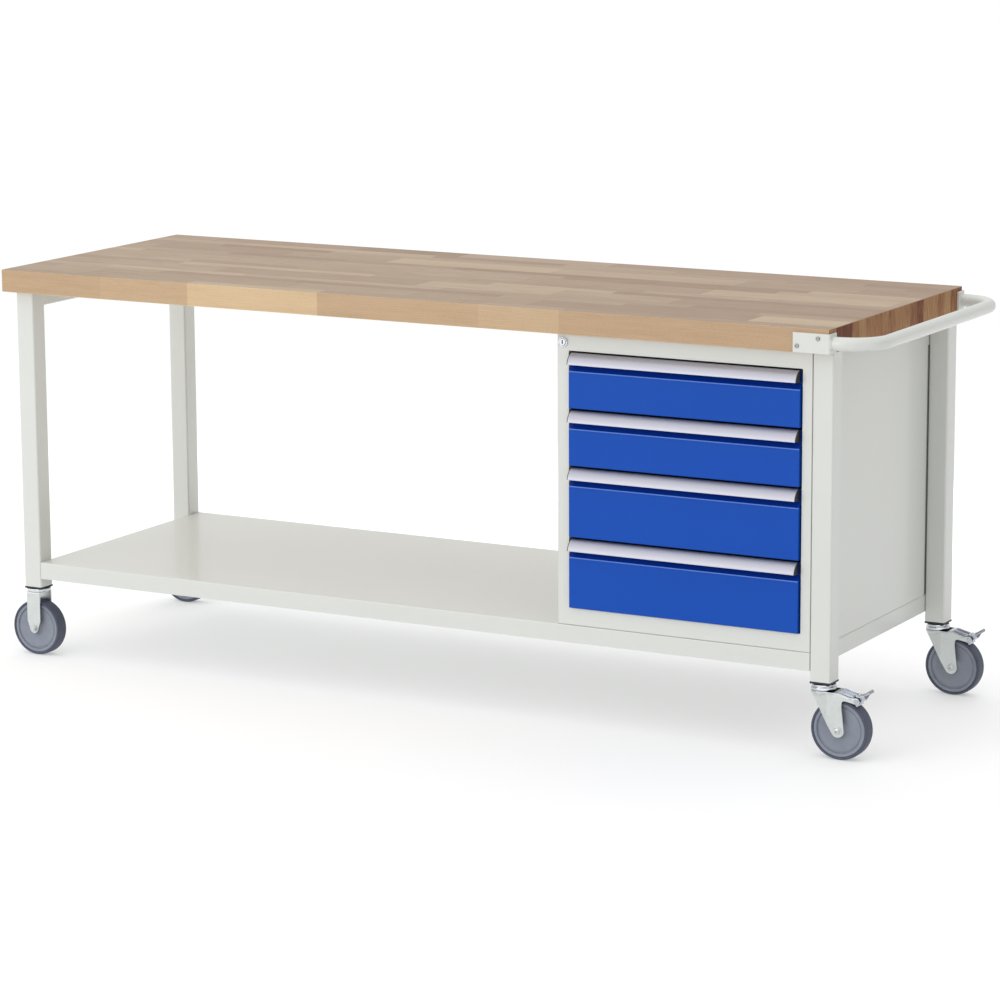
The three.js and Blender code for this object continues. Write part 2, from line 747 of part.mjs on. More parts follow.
// Two cheeks that lean back from the bearing to the axle and reach on as arms to the pedal's pin,
// a crown plate round the kingpin, and a roof that falls towards the pin.
function swivelFork() {
  const crownTop = castorHeight - seam - headThickness - runningGap;
  const crownLow = crownTop - crownThickness;
  const pinZ = castorHeight - pedalPivotDrop;
  const half = swivelForkEnd;
  const axleX = swivelTrail;
  const lean = 213 * degree; // where the leading edge meets the round end
  const cheek = new THREE.Shape();
  cheek.moveTo(-swivelNose, crownTop);
  cheek.lineTo(-swivelNose + 1, (crownTop + crownLow) / 2);
  cheek.lineTo(axleX + half * Math.cos(lean), wheelRadius + half * Math.sin(lean));
  cheek.absarc(axleX, wheelRadius, half, lean, 2 * Math.PI, false);
  const backX = axleX + half - cheekBackLean;
  const throatZ = pinZ - armThroatDrop;
  cheek.lineTo(backX, pinZ - cheekBackDrop);
  cheek.quadraticCurveTo(backX - 1, throatZ, swivelRoof + armThroatX, throatZ);
  cheek.lineTo(pedalPivotX - pedalPinRadius, pinZ - pedalEye + 1);
  cheek.absarc(pedalPivotX, pinZ, pedalEye, -110 * degree, 100 * degree, false);
  cheek.lineTo(swivelRoof + armBendX, pinZ + armBendRise);
  cheek.lineTo(swivelRoof + armKnee, pinZ + armKneeRise);
  cheek.lineTo(swivelRoof, crownTop);
  const cheeks = [-forkOutside, forkInside / 2].map((y) => extrude(cheek, "y", y, y + forkSheet, 5));
  const t = forkSheet;
  const roofLine = [
    [0, crownTop],
    [swivelRoof, crownTop],
    [swivelRoof + armKnee, pinZ + armKneeRise],
    [swivelRoofEnd, pinZ + roofEndRise],
  ];
  const roofUnder = roofLine.map(([x, z]) => [x, z - t]).reverse();
  const roofHalf = forkInside / 2 + past;
  const roof = extrude(polygon([...roofLine, ...roofUnder]), "y", -roofHalf, roofHalf);
  const crown = join(
    bar("z", headRadius, crownLow, crownTop, 0, 0),
    box(-headRadius + 6, headRadius, -forkOutside, forkOutside, crownTop - t, crownTop),
  );
  return cut(
    join(...cheeks, crown, roof),
    bar("z", kingpinRadius + runningGap, crownLow - past, crownTop + past, 0, 0),
    bar("y", axleRadius + seam, -forkInside, forkInside, axleX, wheelRadius),
    bar("y", pedalPinRadius + runningGap, -forkInside, forkInside, pedalPivotX, pinZ, 16),
  );
}

// The brake pedal turns on a pin between the cheeks. Pressed, its shoe points at the axle and meets the tyre.
function brakePedal() {
  const pinZ = castorHeight - pedalPivotDrop;
  const toAxle = Math.hypot(pedalPivotX - swivelTrail, pinZ - wheelRadius);
  const pressed = Math.atan2(pedalPivotX - swivelTrail, pinZ - wheelRadius) / degree;
  const shoeLength = toAxle - wheelRadius - shoeGap;
  const half = pedalWidth / 2;
  const turn = (solid, degrees) => solid.rotate([0, degrees, 0]);
  const shoeTip = shoeHalf - shoeLength;
  const shoe = join(
    box(-shoeHalf, shoeHalf, -half, half, shoeTip, 0),
    bar("y", shoeHalf, -half, half, 0, shoeTip, 16),
  );
  const lever = box(0, pedalReach, -half, half, pedalLift, pedalLift + pedalSheet);
  const boss = bar("y", pedalBoss, -half, half, 0, 0, 20);
  const pinHalf = forkOutside + pedalPinProud;
  const pin = bar("y", pedalPinRadius, -pinHalf, pinHalf, 0, 0, 16);
  return join(turn(shoe, pressed - pedalTravel), turn(lever, -pedalRise), boss, pin).translate([
    pedalPivotX, 0, pinZ,
  ]);
}

function castors() {
  const fixed = ["front_left", "rear_left"].map((corner, i) =>
    groupAt([legLeftX, i ? legY : -legY, 0], [
      part("fixed_fork_" + corner, fixedFork(), zinc),
      part("axle_" + corner, axle(0), zinc),
      part("wheel_hub_" + corner, wheelHub(0), hubPlastic),
      part("tyre_" + corner, tyre(0), tyreRubber),
    ]),
  );
  const swivel = ["front_right", "rear_right"].map((corner, i) =>
    groupAt([legRightX, i ? legY : -legY, 0], [
      part("swivel_head_" + corner, swivelHead(), chrome),
      part("swivel_fork_" + corner, swivelFork(), zinc),
      part("axle_" + corner, axle(swivelTrail), zinc),
      part("wheel_hub_" + corner, wheelHub(swivelTrail), hubPlastic),
      part("tyre_" + corner, tyre(swivelTrail), tyreRubber),
      part("brake_pedal_" + corner, brakePedal(), chrome),
    ]),
  );
  return [...fixed, ...swivel];
}

// ---- The whole bench, with its origin on the floor under the middle of its outline
const outlineLeft = Math.min(-topLength / 2, legLeftX - wheelRadius);
const outlineRight = topLength / 2 + handleOut + handleTubeRadius;
const bench = groupAt([-(outlineLeft + outlineRight) / 2, 0, 0], [
  worktop(),
  ...legs(),
  ...topRails(),
  shelf(),
  pushHandle(),
  cabinetFront(),
  ...cabinetPanels(),
  ...drawers(),
  ...lockCylinder(),
  lockingBar(),
  ...castors(),
]);

export default bench;
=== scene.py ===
import bpy, bmesh, math
from mathutils import Vector, Matrix


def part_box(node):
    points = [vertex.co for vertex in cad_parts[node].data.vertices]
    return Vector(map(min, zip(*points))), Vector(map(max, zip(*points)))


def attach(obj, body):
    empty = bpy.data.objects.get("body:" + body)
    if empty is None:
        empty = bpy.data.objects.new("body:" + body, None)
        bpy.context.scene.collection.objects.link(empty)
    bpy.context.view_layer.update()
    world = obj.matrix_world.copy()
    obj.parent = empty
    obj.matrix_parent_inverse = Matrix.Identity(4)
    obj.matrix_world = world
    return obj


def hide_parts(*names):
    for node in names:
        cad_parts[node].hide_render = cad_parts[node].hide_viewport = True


# Rolling workbench: beech top, square tube frame, four blue drawers, push handle, castors.
# Metres, +Z up, +X towards the push handle, drawers open towards -Y.

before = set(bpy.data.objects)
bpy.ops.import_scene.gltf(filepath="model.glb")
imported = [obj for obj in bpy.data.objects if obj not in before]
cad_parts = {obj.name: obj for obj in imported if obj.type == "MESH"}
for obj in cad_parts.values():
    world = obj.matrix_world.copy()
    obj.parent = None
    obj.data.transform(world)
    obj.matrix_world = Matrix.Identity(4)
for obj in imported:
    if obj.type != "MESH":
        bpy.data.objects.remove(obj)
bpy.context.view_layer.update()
scene = bpy.context.scene
print("frame loaded,", len(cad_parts), "solids")


# ---- shaping helpers

def roundedLoop(corners, steps=5):
    # each corner is (u, v) or (u, v, radius); the radius is turned into a short arc
    loop = []
    for k, corner in enumerate(corners):
        here = Vector(corner[:2])
        radius = corner[2] if len(corner) > 2 else 0
        if radius == 0:
            loop.append(here)
            continue
        before = Vector(corners[k - 1][:2]) - here
        after = Vector(corners[(k + 1) % len(corners)][:2]) - here
        half = before.angle(after) / 2
        # an arc never takes more than half of the shorter side beside it
        reach = min(radius / math.tan(half), before.length / 2, after.length / 2)
        radius = reach * math.tan(half)
        before.normalize()
        after.normalize()
        middle = here + (before + after).normalized() * radius / math.sin(half)
        start = here + before * reach - middle
        end = here + after * reach - middle
        first = math.atan2(start.y, start.x)
        turn = math.atan2(end.y, end.x) - first
        turn = (turn + math.pi) % (2 * math.pi) - math.pi
        for i in range(steps + 1):
            angle = first + turn * i / steps
            loop.append(middle + radius * Vector((math.cos(angle), math.sin(angle))))
    return loop


def rectLoop(u0, u1, v0, v1, radius=0.0, steps=5):
    return roundedLoop([(u0, v0, radius), (u1, v0, radius), (u1, v1, radius), (u0, v1, radius)], steps)


def circleLoop(u, v, radius, sides=32):
    turns = [2 * math.pi * i / sides for i in range(sides)]
    return [Vector((u + radius * math.cos(a), v + radius * math.sin(a))) for a in turns]


def placeAlong(mesh, axis, middle):
    # the flat shape was drawn in (u, v): X takes them as (y, z), Y as (x, z), Z as (x, y)
    for vertex in mesh.vertices:
        u, v, w = vertex.co
        w += middle
        vertex.co = {"x": (w, u, v), "y": (u, w, v), "z": (u, v, w)}[axis]
    return mesh


def tidyMesh(mesh):
    bm = bmesh.new()
    bm.from_mesh(mesh)
    bmesh.ops.remove_doubles(bm, verts=bm.verts, dist=1e-6)
    bmesh.ops.recalc_face_normals(bm, faces=bm.faces)
    bm.to_mesh(mesh)
    bm.free()
    return mesh


def pressedPlate(loops, axis, low, high, edge=0.0004, steps=1):
    # a flat outline with holes, given thickness and softly rounded rims
    curve = bpy.data.curves.new("outline", "CURVE")
    curve.dimensions = "2D"
    curve.fill_mode = "BOTH"
    curve.extrude = (high - low) / 2 - edge
    curve.bevel_depth = edge
    curve.bevel_resolution = steps
    curve.offset = -edge
    for loop in loops:
        spline = curve.splines.new("POLY")
        spline.points.add(len(loop) - 1)
        for point, place in zip(spline.points, loop):
            point.co = (place[0], place[1], 0, 1)
        spline.use_cyclic_u = True
    holder = bpy.data.objects.new("outline", curve)
    mesh = bpy.data.meshes.new_from_object(holder)
    bpy.data.objects.remove(holder)
    return tidyMesh(placeAlong(mesh, axis, (low + high) / 2))


def softBox(x0, x1, y0, y1, z0, z1, edge=0.0004, steps=2):
    return pressedPlate([rectLoop(x0, x1, y0, y1, edge, 2)], "z", z0, z1, edge, steps)


def turnedPiece(profile, axis, centre, sides=48):
    # profile is a closed run of (radius, height); points on the axis close into a cap
    bm = bmesh.new()
    rings = []
    for radius, height in profile:
        around = 1 if radius < 1e-7 else sides
        ring = []
        for i in range(around):
            a = 2 * math.pi * i / sides
            u, v = radius * math.cos(a), radius * math.sin(a)
            place = {"x": (height, u, v), "y": (u, height, v), "z": (u, v, height)}[axis]
            ring.append(bm.verts.new(Vector(centre) + Vector(place)))
        rings.append(ring)
    for one, two in zip(rings, rings[1:] + rings[:1]):
        if len(one) == 1 and len(two) == 1:
            continue
        for i in range(sides):
            j = i + 1
            corners = [one[i % len(one)], one[j % len(one)], two[j % len(two)], two[i % len(two)]]
            bm.faces.new(list(dict.fromkeys(corners)))
    bmesh.ops.recalc_face_normals(bm, faces=bm.faces)
    mesh = bpy.data.meshes.new("turned")
    bm.to_mesh(mesh)
    bm.free()
    return mesh


def sweptRod(points, radius, sides=16, closed=False):
    curve = bpy.data.curves.new("rod", "CURVE")
    curve.dimensions = "3D"
    curve.bevel_depth = radius
    curve.bevel_resolution = max(sides // 4 - 1, 1)
    curve.use_fill_caps = not closed
    spline = curve.splines.new("POLY")
    spline.points.add(len(points) - 1)
    for point, place in zip(spline.points, points):
        point.co = (*place, 1)
    spline.use_cyclic_u = closed
    holder = bpy.data.objects.new("rod", curve)
    mesh = bpy.data.meshes.new_from_object(holder)
    bpy.data.objects.remove(holder)
    return tidyMesh(mesh)


def joinMeshes(*meshes):
    bm = bmesh.new()
    for mesh in meshes:
        bm.from_mesh(mesh)
    whole = bpy.data.meshes.new("joined")
    bm.to_mesh(whole)
    bm.free()
    return whole


def moved(mesh, matrix):
    copy = mesh.copy()
    copy.transform(matrix)
    if matrix.determinant() < 0:
        copy.flip_normals()
    return copy


def addPiece(name, mesh, material, body, replaces=(), smooth=34):
    piece = bpy.data.objects.new(name, mesh)
    mesh.name = name
    scene.collection.objects.link(piece)
    mesh.materials.clear()
    mesh.materials.append(material)
    mesh.shade_smooth()
    mesh.set_sharp_from_angle(angle=math.radians(smooth))
    weighted = piece.modifiers.new("even faces", "WEIGHTED_NORMAL")
    weighted.keep_sharp = True
    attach(piece, body)
    if replaces:
        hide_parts(*replaces)
    return piece


def keepSolid(node, material, edge=0.0):
    # a solid whose shape is already right only gets its finish and softened rims
    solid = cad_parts[node]
    solid.data.materials.clear()
    solid.data.materials.append(material)
    if edge:
        rim = solid.modifiers.new("soft rims", "BEVEL")
        rim.width = edge
        rim.segments = 2
        rim.limit_method = "ANGLE"
        rim.angle_limit = math.radians(40)
        rim.harden_normals = True


# ---- finish helpers

def freshFinish(name):
    material = bpy.data.materials.new(name)
    material.use_nodes = True
    tree = material.node_tree
    tree.nodes.clear()
    out = tree.nodes.new("ShaderNodeOutputMaterial")
    shader = tree.nodes.new("ShaderNodeBsdfPrincipled")
    tree.links.new(shader.outputs[0], out.inputs[0])
    return material, tree, shader


def addNode(tree, kind, props=None, **sockets):
    node = tree.nodes.new("ShaderNode" + kind)
    for key, value in (props or {}).items():
        setattr(node, key, value)
    for key, value in sockets.items():
        socket = node.inputs[int(key[1:])] if key[1:].isdigit() else node.inputs[key]
        if isinstance(value, bpy.types.NodeSocket):
            tree.links.new(value, socket)
        else:
            socket.default_value = value
    return node


def calc(tree, operation, a, b=0.0, c=0.0):
    return addNode(tree, "Math", {"operation": operation}, s0=a, s1=b, s2=c).outputs[0]


def remap(tree, value, low, high, newLow, newHigh):
    node = addNode(tree, "MapRange", None, Value=value)
    for socket, number in zip(list(node.inputs)[1:5], (low, high, newLow, newHigh)):
        socket.default_value = number
    return node.outputs[0]


def objectPlace(tree, stretch=(1, 1, 1)):
    place = addNode(tree, "TexCoord").outputs["Object"]
    return addNode(tree, "Mapping", None, Vector=place, Scale=stretch).outputs[0]


def noiseAt(tree, vector, scale, detail=2.0, rough=0.5):
    node = addNode(tree, "TexNoise", None, Vector=vector, Scale=scale, Detail=detail, Roughness=rough)
    return node.outputs[0]


def rampOf(tree, factor, stops, kind="LINEAR"):
    node = addNode(tree, "ValToRGB", None, Fac=factor)
    node.color_ramp.interpolation = kind
    marks = node.color_ramp.elements
    while len(marks) < len(stops):
        marks.new(0.5)
    for mark, (position, colour) in zip(marks, stops):
        mark.position = position
        mark.color = (*colour, 1)
    return node.outputs[0]


def mixColours(tree, factor, one, two, blend="MIX"):
    node = addNode(tree, "Mix", {"data_type": "RGBA", "blend_type": blend})
    for socket, value in ((node.inputs[0], factor), (node.inputs[6], one), (node.inputs[7], two)):
        if isinstance(value, bpy.types.NodeSocket):
            tree.links.new(value, socket)
        elif isinstance(value, tuple):
            socket.default_value = (*value, 1)
        else:
            socket.default_value = value
    return node.outputs[2]


def bumpFrom(tree, height, distance, strength=1.0):
    return addNode(tree, "Bump", None, Height=height, Distance=distance, Strength=strength).outputs[0]


def powderCoat(name, look):
    material, tree, shader = freshFinish(name)
    place = objectPlace(tree)
    broad = noiseAt(tree, place, look["patchScale"], 3)
    grain = noiseAt(tree, place, look["grainScale"], 2, 0.6)
    dust = noiseAt(tree, place, look["dustScale"], 4, 0.7)
    colour = mixColours(tree, broad, look["dark"], look["light"])
    speck = remap(tree, grain, 0.60, 0.72, 0.0, look["speck"])
    colour = mixColours(tree, speck, colour, look["speckColour"])
    haze = remap(tree, dust, 0.52, 0.78, 0.0, look["dust"])
    colour = mixColours(tree, haze, colour, look["dustColour"])
    tree.links.new(colour, shader.inputs["Base Color"])
    uneven = remap(tree, grain, 0.3, 0.7, -0.03, 0.03)
    rough = calc(tree, "ADD", remap(tree, broad, 0.3, 0.7, *look["rough"]), uneven)
    tree.links.new(rough, shader.inputs["Roughness"])
    peel = noiseAt(tree, place, look["peelScale"], 2, 0.45)
    tree.links.new(bumpFrom(tree, peel, look["peelDepth"]), shader.inputs["Normal"])
    shader.inputs["Specular IOR Level"].default_value = look["gloss"]
    shader.inputs["Coat Weight"].default_value = look["coat"]
    shader.inputs["Coat Roughness"].default_value = look["coatRough"]
    return material


greyCoatLook = {
    "light": (0.595, 0.605, 0.575), "dark": (0.560, 0.570, 0.543),
    "patchScale": 3.2, "grainScale": 1900, "dustScale": 14,
    "speck": 0.16, "speckColour": (0.47, 0.48, 0.455),
    "dust": 0.06, "dustColour": (0.52, 0.515, 0.48), "rough": (0.34, 0.42),
    "peelScale": 620, "peelDepth": 0.00004, "gloss": 0.5, "coat": 0.35, "coatRough": 0.12,
}
blueCoatLook = {
    "light": (0.003, 0.064, 0.385), "dark": (0.002, 0.057, 0.352),
    "patchScale": 3.5, "grainScale": 2100, "dustScale": 16,
    "speck": 0.22, "speckColour": (0.008, 0.085, 0.44),
    "dust": 0.02, "dustColour": (0.03, 0.10, 0.36), "rough": (0.36, 0.44),
    "peelScale": 640, "peelDepth": 0.00005, "gloss": 0.16, "coat": 0.0, "coatRough": 0.12,
}
greyCoat = powderCoat("greyPowderCoat", greyCoatLook)
blueCoat = powderCoat("bluePowderCoat", blueCoatLook)
# painted shade and painted highlight: the recess below each grip is coloured darker where the grip shades it,
# and the fold above the face is coloured lighter where it catches the light
recessPaintedShadeLook = {"light": (0.001, 0.026, 0.235), "dark": (0.001, 0.023, 0.215), "gloss": 0.08}
foldPaintedHighlightLook = {"light": (0.085, 0.19, 0.66), "dark": (0.07, 0.165, 0.60), "gloss": 0.4}
bluePaintedRecessShade = powderCoat("bluePaintedRecessShade", {**blueCoatLook, **recessPaintedShadeLook})
bluePaintedFoldHighlight = powderCoat("bluePaintedFoldHighlight", {**blueCoatLook, **foldPaintedHighlightLook})


def platedSteel(name, look):
    # zinc plate shows soft crystal clouds and drawing marks; chrome only the faintest of both
    material, tree, shader = freshFinish(name)
    place = objectPlace(tree)
    cloud = noiseAt(tree, place, look["cloudScale"], 4, 0.6)
    fine = noiseAt(tree, place, look["fineScale"], 3, 0.6)
    drawn = noiseAt(tree, objectPlace(tree, look["drawStretch"]), 60, 3, 0.55)
    blotch = addNode(tree, "TexVoronoi", None, Vector=place, Scale=look["crystalScale"]).outputs["Color"]
    crystal = addNode(tree, "SeparateColor", None, Color=blotch).outputs[0]
    mixed = calc(tree, "ADD", calc(tree, "MULTIPLY", cloud, 0.7), calc(tree, "MULTIPLY", crystal, 0.3))
    colour = mixColours(tree, mixed, look["dark"], look["light"])
    colour = mixColours(tree, remap(tree, fine, 0.62, 0.8, 0.0, look["stain"]), colour, look["stainColour"])
    tree.links.new(colour, shader.inputs["Base Color"])
    uneven = remap(tree, drawn, 0.3, 0.7, -0.03, 0.03)
    rough = calc(tree, "ADD", remap(tree, mixed, 0.3, 0.7, *look["rough"]), uneven)
    tree.links.new(rough, shader.inputs["Roughness"])
    height = calc(tree, "ADD", drawn, calc(tree, "MULTIPLY", fine, 0.5))
    tree.links.new(bumpFrom(tree, height, look["depth"]), shader.inputs["Normal"])
    shader.inputs["Metallic"].default_value = 1.0
    return material


zincLook = {
    "light": (0.635, 0.665, 0.655), "dark": (0.545, 0.575, 0.565), "cloudScale": 42, "fineScale": 420,
    "crystalScale": 260, "drawStretch": (1, 1, 6), "stain": 0.25, "stainColour": (0.50, 0.51, 0.47),
    "rough": (0.30, 0.42), "depth": 0.00003,
}
chromeLook = {
    "light": (0.74, 0.765, 0.80), "dark": (0.66, 0.69, 0.73), "cloudScale": 60, "fineScale": 500,
    "crystalScale": 200, "drawStretch": (1, 1, 8), "stain": 0.12, "stainColour": (0.50, 0.52, 0.55),
    "rough": (0.09, 0.15), "depth": 0.000006,
}
screwLook = {
    "light": (0.36, 0.37, 0.37), "dark": (0.27, 0.28, 0.28), "cloudScale": 90, "fineScale": 700,
    "crystalScale": 300, "drawStretch": (1, 1, 4), "stain": 0.2, "stainColour": (0.22, 0.22, 0.21),
    "rough": (0.26, 0.36), "depth": 0.00001,
}
springSteelLook = {
    **screwLook, "light": (0.52, 0.55, 0.60), "dark": (0.42, 0.45, 0.50), "rough": (0.20, 0.28),
    "stain": 0.1,
}
screwSteel = platedSteel("screwSteel", screwLook)
springSteel = platedSteel("springSteel", springSteelLook)
zincPlate = platedSteel("zincPlate", zincLook)
chromePlate = platedSteel("chromePlate", chromeLook)


def brushedAluminium(name, look):
    material, tree, shader = freshFinish(name)
    lines = noiseAt(tree, objectPlace(tree, look["brush"]), 1.0, 4, 0.6)
    cloud = noiseAt(tree, objectPlace(tree), 9, 2)
    colour = mixColours(tree, remap(tree, lines, 0.3, 0.7, 0.0, 1.0), look["dark"], look["light"])
    colour = mixColours(tree, remap(tree, cloud, 0.45, 0.75, 0.0, 0.25), colour, look["tint"])
    tree.links.new(colour, shader.inputs["Base Color"])
    tree.links.new(remap(tree, lines, 0.3, 0.7, *look["rough"]), shader.inputs["Roughness"])
    tree.links.new(bumpFrom(tree, lines, look["depth"]), shader.inputs["Normal"])
    shader.inputs["Metallic"].default_value = look["metal"]
    return material


gripLook = {"light": (0.500, 0.500, 0.560), "dark": (0.435, 0.437, 0.495), "tint": (0.470, 0.472, 0.540),
            "brush": (9, 2600, 2600), "rough": (0.46, 0.56), "depth": 0.00001, "metal": 0.86}
gripAluminium = brushedAluminium("satinAnodisedGrip", gripLook)


def mouldedPlastic(name, look):
    material, tree, shader = freshFinish(name)
    place = objectPlace(tree)
    skin = noiseAt(tree, place, look["skinScale"], 2, 0.5)
    cloud = noiseAt(tree, place, look["cloudScale"], 3, 0.6)
    colour = mixColours(tree, remap(tree, cloud, 0.3, 0.7, 0.0, 1.0), look["dark"], look["light"])
    scuff = remap(tree, noiseAt(tree, place, look["scuffScale"], 5, 0.75), 0.60, 0.75, 0.0, look["scuff"])
    colour = mixColours(tree, scuff, colour, look["scuffColour"])
    tree.links.new(colour, shader.inputs["Base Color"])
    rough = calc(tree, "ADD", remap(tree, cloud, 0.3, 0.7, *look["rough"]),
                 calc(tree, "MULTIPLY", scuff, 0.4))
    tree.links.new(rough, shader.inputs["Roughness"])
    tree.links.new(bumpFrom(tree, skin, look["depth"]), shader.inputs["Normal"])
    shader.inputs["Specular IOR Level"].default_value = 0.45
    return material


plugLook = {
    "light": (0.018, 0.019, 0.022), "dark": (0.010, 0.011, 0.013), "skinScale": 1500, "cloudScale": 60,
    "scuffScale": 90, "scuff": 0.25, "scuffColour": (0.06, 0.06, 0.065),
    "rough": (0.45, 0.58), "depth": 0.00003,
}
wheelLook = {
    "light": (0.215, 0.236, 0.282), "dark": (0.178, 0.198, 0.244), "skinScale": 1300, "cloudScale": 30,
    "scuffScale": 110, "scuff": 0.14, "scuffColour": (0.36, 0.37, 0.41),
    "rough": (0.40, 0.50), "depth": 0.00002,
}
tyreLook = {
    "light": (0.068, 0.078, 0.115), "dark": (0.050, 0.058, 0.090), "skinScale": 1000, "cloudScale": 45,
    "scuffScale": 70, "scuff": 0.22, "scuffColour": (0.16, 0.17, 0.20),
    "rough": (0.52, 0.66), "depth": 0.00005,
}
padLook = {
    "light": (0.27, 0.30, 0.285), "dark": (0.21, 0.235, 0.225), "skinScale": 1300, "cloudScale": 50,
    "scuffScale": 100, "scuff": 0.3, "scuffColour": (0.36, 0.38, 0.37),
    "rough": (0.38, 0.48), "depth": 0.00002,
}
# painted shade: dark grey for the strip that stands for the shadow in the gap behind the cabinet
gapShadeTint = {"light": (0.17, 0.175, 0.165), "dark": (0.13, 0.135, 0.125)}
blackPlastic = mouldedPlastic("blackPlug", plugLook)
wheelPlastic = mouldedPlastic("wheelCentreGrey", wheelLook)
tyreRubber = mouldedPlastic("tyreRubber", tyreLook)
gapShadeGrey = mouldedPlastic("gapShadeGrey", {**plugLook, **gapShadeTint})
padPlastic = mouldedPlastic("pedalPadGrey", padLook)


# ---- worktop: glued beech staves, oiled

def beechFinish(name, look):
    material, tree, shader = freshFinish(name)
    axes = addNode(tree, "SeparateXYZ", None, Vector=addNode(tree, "TexCoord").outputs["Object"]).outputs
    x, y, z = axes[0], axes[1], axes[2]
    # the strips are not all one width, so the place across the board is stretched a little here and there
    across = calc(tree, "DIVIDE", calc(tree, "SUBTRACT", y, look["frontY"]), look["stripWidth"])
    sway = calc(tree, "SINE", calc(tree, "MULTIPLY", across, look["swayRate"]))
    across = calc(tree, "MULTIPLY_ADD", sway, look["sway"], across)
    strip = calc(tree, "FLOOR", across)
    stripSeed = addNode(tree, "TexWhiteNoise", {"noise_dimensions": "1D"},
                        W=calc(tree, "ADD", strip, 3.0)).outputs[0]
    slip = calc(tree, "MULTIPLY", stripSeed, 7.3)
    wander = calc(tree, "MULTIPLY", calc(tree, "SINE", calc(tree, "ADD", calc(tree, "MULTIPLY", x, 5.1),
                  calc(tree, "MULTIPLY", stripSeed, 19.0))), 0.075)
    along = calc(tree, "ADD", calc(tree, "ADD", x, slip), wander)
    stave = calc(tree, "FLOOR", calc(tree, "DIVIDE", along, look["staveLength"]))
    pair = addNode(tree, "CombineXYZ", None, X=stave, Y=strip, Z=look["seed"]).outputs[0]
    board = addNode(tree, "TexWhiteNoise", {"noise_dimensions": "3D"}, Vector=pair)
    tone, second = board.outputs[0], addNode(tree, "SeparateColor", None, Color=board.outputs[1]).outputs
    # the front strip is the one seen edge on, so its staves are laid out one by one
    lengthPart = remap(tree, x, look["middleX"] - look["halfLength"], look["middleX"] + look["halfLength"],
                       0.0, 1.0)
    frontTone = rampOf(tree, lengthPart, look["frontStaves"], "CONSTANT")
    frontTone = addNode(tree, "SeparateColor", None, Color=frontTone).outputs[0]
    onFront = calc(tree, "LESS_THAN", strip, 0.5)
    tone = addNode(tree, "Mix", None, s0=onFront, s2=tone, s3=frontTone).outputs[0]
    # each stave is cut from its own log, so its growth rings lie round their own far-off centre
    ringY = calc(tree, "ADD", y, calc(tree, "MULTIPLY", calc(tree, "SUBTRACT", second[0], 0.5), 0.16))
    ringZ = calc(tree, "ADD", z, calc(tree, "MULTIPLY", calc(tree, "SUBTRACT", second[1], 1.6), 0.07))
    swirl = addNode(tree, "CombineXYZ", None, X=calc(tree, "MULTIPLY", x, 2.2),
                    Y=calc(tree, "MULTIPLY", y, 16.0),
                    Z=calc(tree, "ADD", z, calc(tree, "MULTIPLY", tone, 9.0))).outputs[0]
    bend = calc(tree, "MULTIPLY", calc(tree, "SUBTRACT", noiseAt(tree, swirl, 1.0, 3), 0.5), 0.030)
    away = calc(tree, "SQRT", calc(tree, "ADD", calc(tree, "MULTIPLY", ringY, ringY),
                                   calc(tree, "MULTIPLY", ringZ, ringZ)))
    rings = calc(tree, "SINE", calc(tree, "MULTIPLY", calc(tree, "ADD", away, bend), look["ringRate"]))
    ringMark = remap(tree, rings, 0.1, 1.0, 0.0, 1.0)
    fibre = noiseAt(tree, objectPlace(tree, (12, 520, 520)), 1.0, 5, 0.65)
    broad = noiseAt(tree, objectPlace(tree, (5, 70, 70)), 1.0, 3, 0.6)
    fleck = noiseAt(tree, objectPlace(tree, (170, 900, 900)), 1.0, 1, 0.5)
    colour = rampOf(tree, tone, look["boardTones"])
    colour = mixColours(tree, calc(tree, "MULTIPLY", ringMark, look["ringShow"]), colour, look["ringTone"],
                        "MULTIPLY")
    colour = mixColours(tree, remap(tree, fibre, 0.35, 0.75, 0.0, look["fibreShow"]), colour,
                        look["fibreTone"], "MULTIPLY")
    colour = mixColours(tree, remap(tree, broad, 0.40, 0.75, 0.0, look["broadShow"]), colour,
                        look["broadTone"], "MULTIPLY")
    colour = mixColours(tree, remap(tree, fleck, 0.64, 0.70, 0.0, look["fleckShow"]), colour,
                        look["fleckTone"], "MULTIPLY")
    # the long front and back faces are coloured lighter than the top, by a fixed factor
    topFace = remap(tree, z, look["topZ"] - 0.0016, look["topZ"] - 0.0004, 0.0, 1.0)
    sideColour = mixColours(tree, 1.0, colour, look["edgeTone"], "MULTIPLY")
    colour = mixColours(tree, topFace, sideColour, colour)
    # the ends show end grain: darker, with a strong change from strip to strip
    fromMiddle = calc(tree, "ABSOLUTE", calc(tree, "SUBTRACT", x, look["middleX"]))
    half = look["halfLength"]
    nearEnd = remap(tree, fromMiddle, half - 0.0014, half - 0.0006, 0.0, 1.0)
    endFace = calc(tree, "MULTIPLY", nearEnd, calc(tree, "SUBTRACT", 1.0, topFace))
    pores = noiseAt(tree, objectPlace(tree, (300, 900, 900)), 1.0, 3, 0.7)
    streak = addNode(tree, "CombineXYZ", None, X=calc(tree, "MULTIPLY", z, 26.0),
                     Y=calc(tree, "MULTIPLY", y, 170.0), Z=stripSeed).outputs[0]
    streaks = remap(tree, noiseAt(tree, streak, 1.0, 4, 0.65), 0.25, 0.75, -look["endStreak"],
                    look["endStreak"])
    endColour = rampOf(tree, calc(tree, "ADD", stripSeed, streaks), look["endTones"])
    endColour = mixColours(tree, calc(tree, "MULTIPLY", ringMark, 0.7), endColour, look["ringTone"],
                           "MULTIPLY")
    endColour = mixColours(tree, remap(tree, pores, 0.4, 0.7, 0.0, 0.8), endColour, look["fibreTone"],
                           "MULTIPLY")
    colour = mixColours(tree, endFace, colour, endColour)
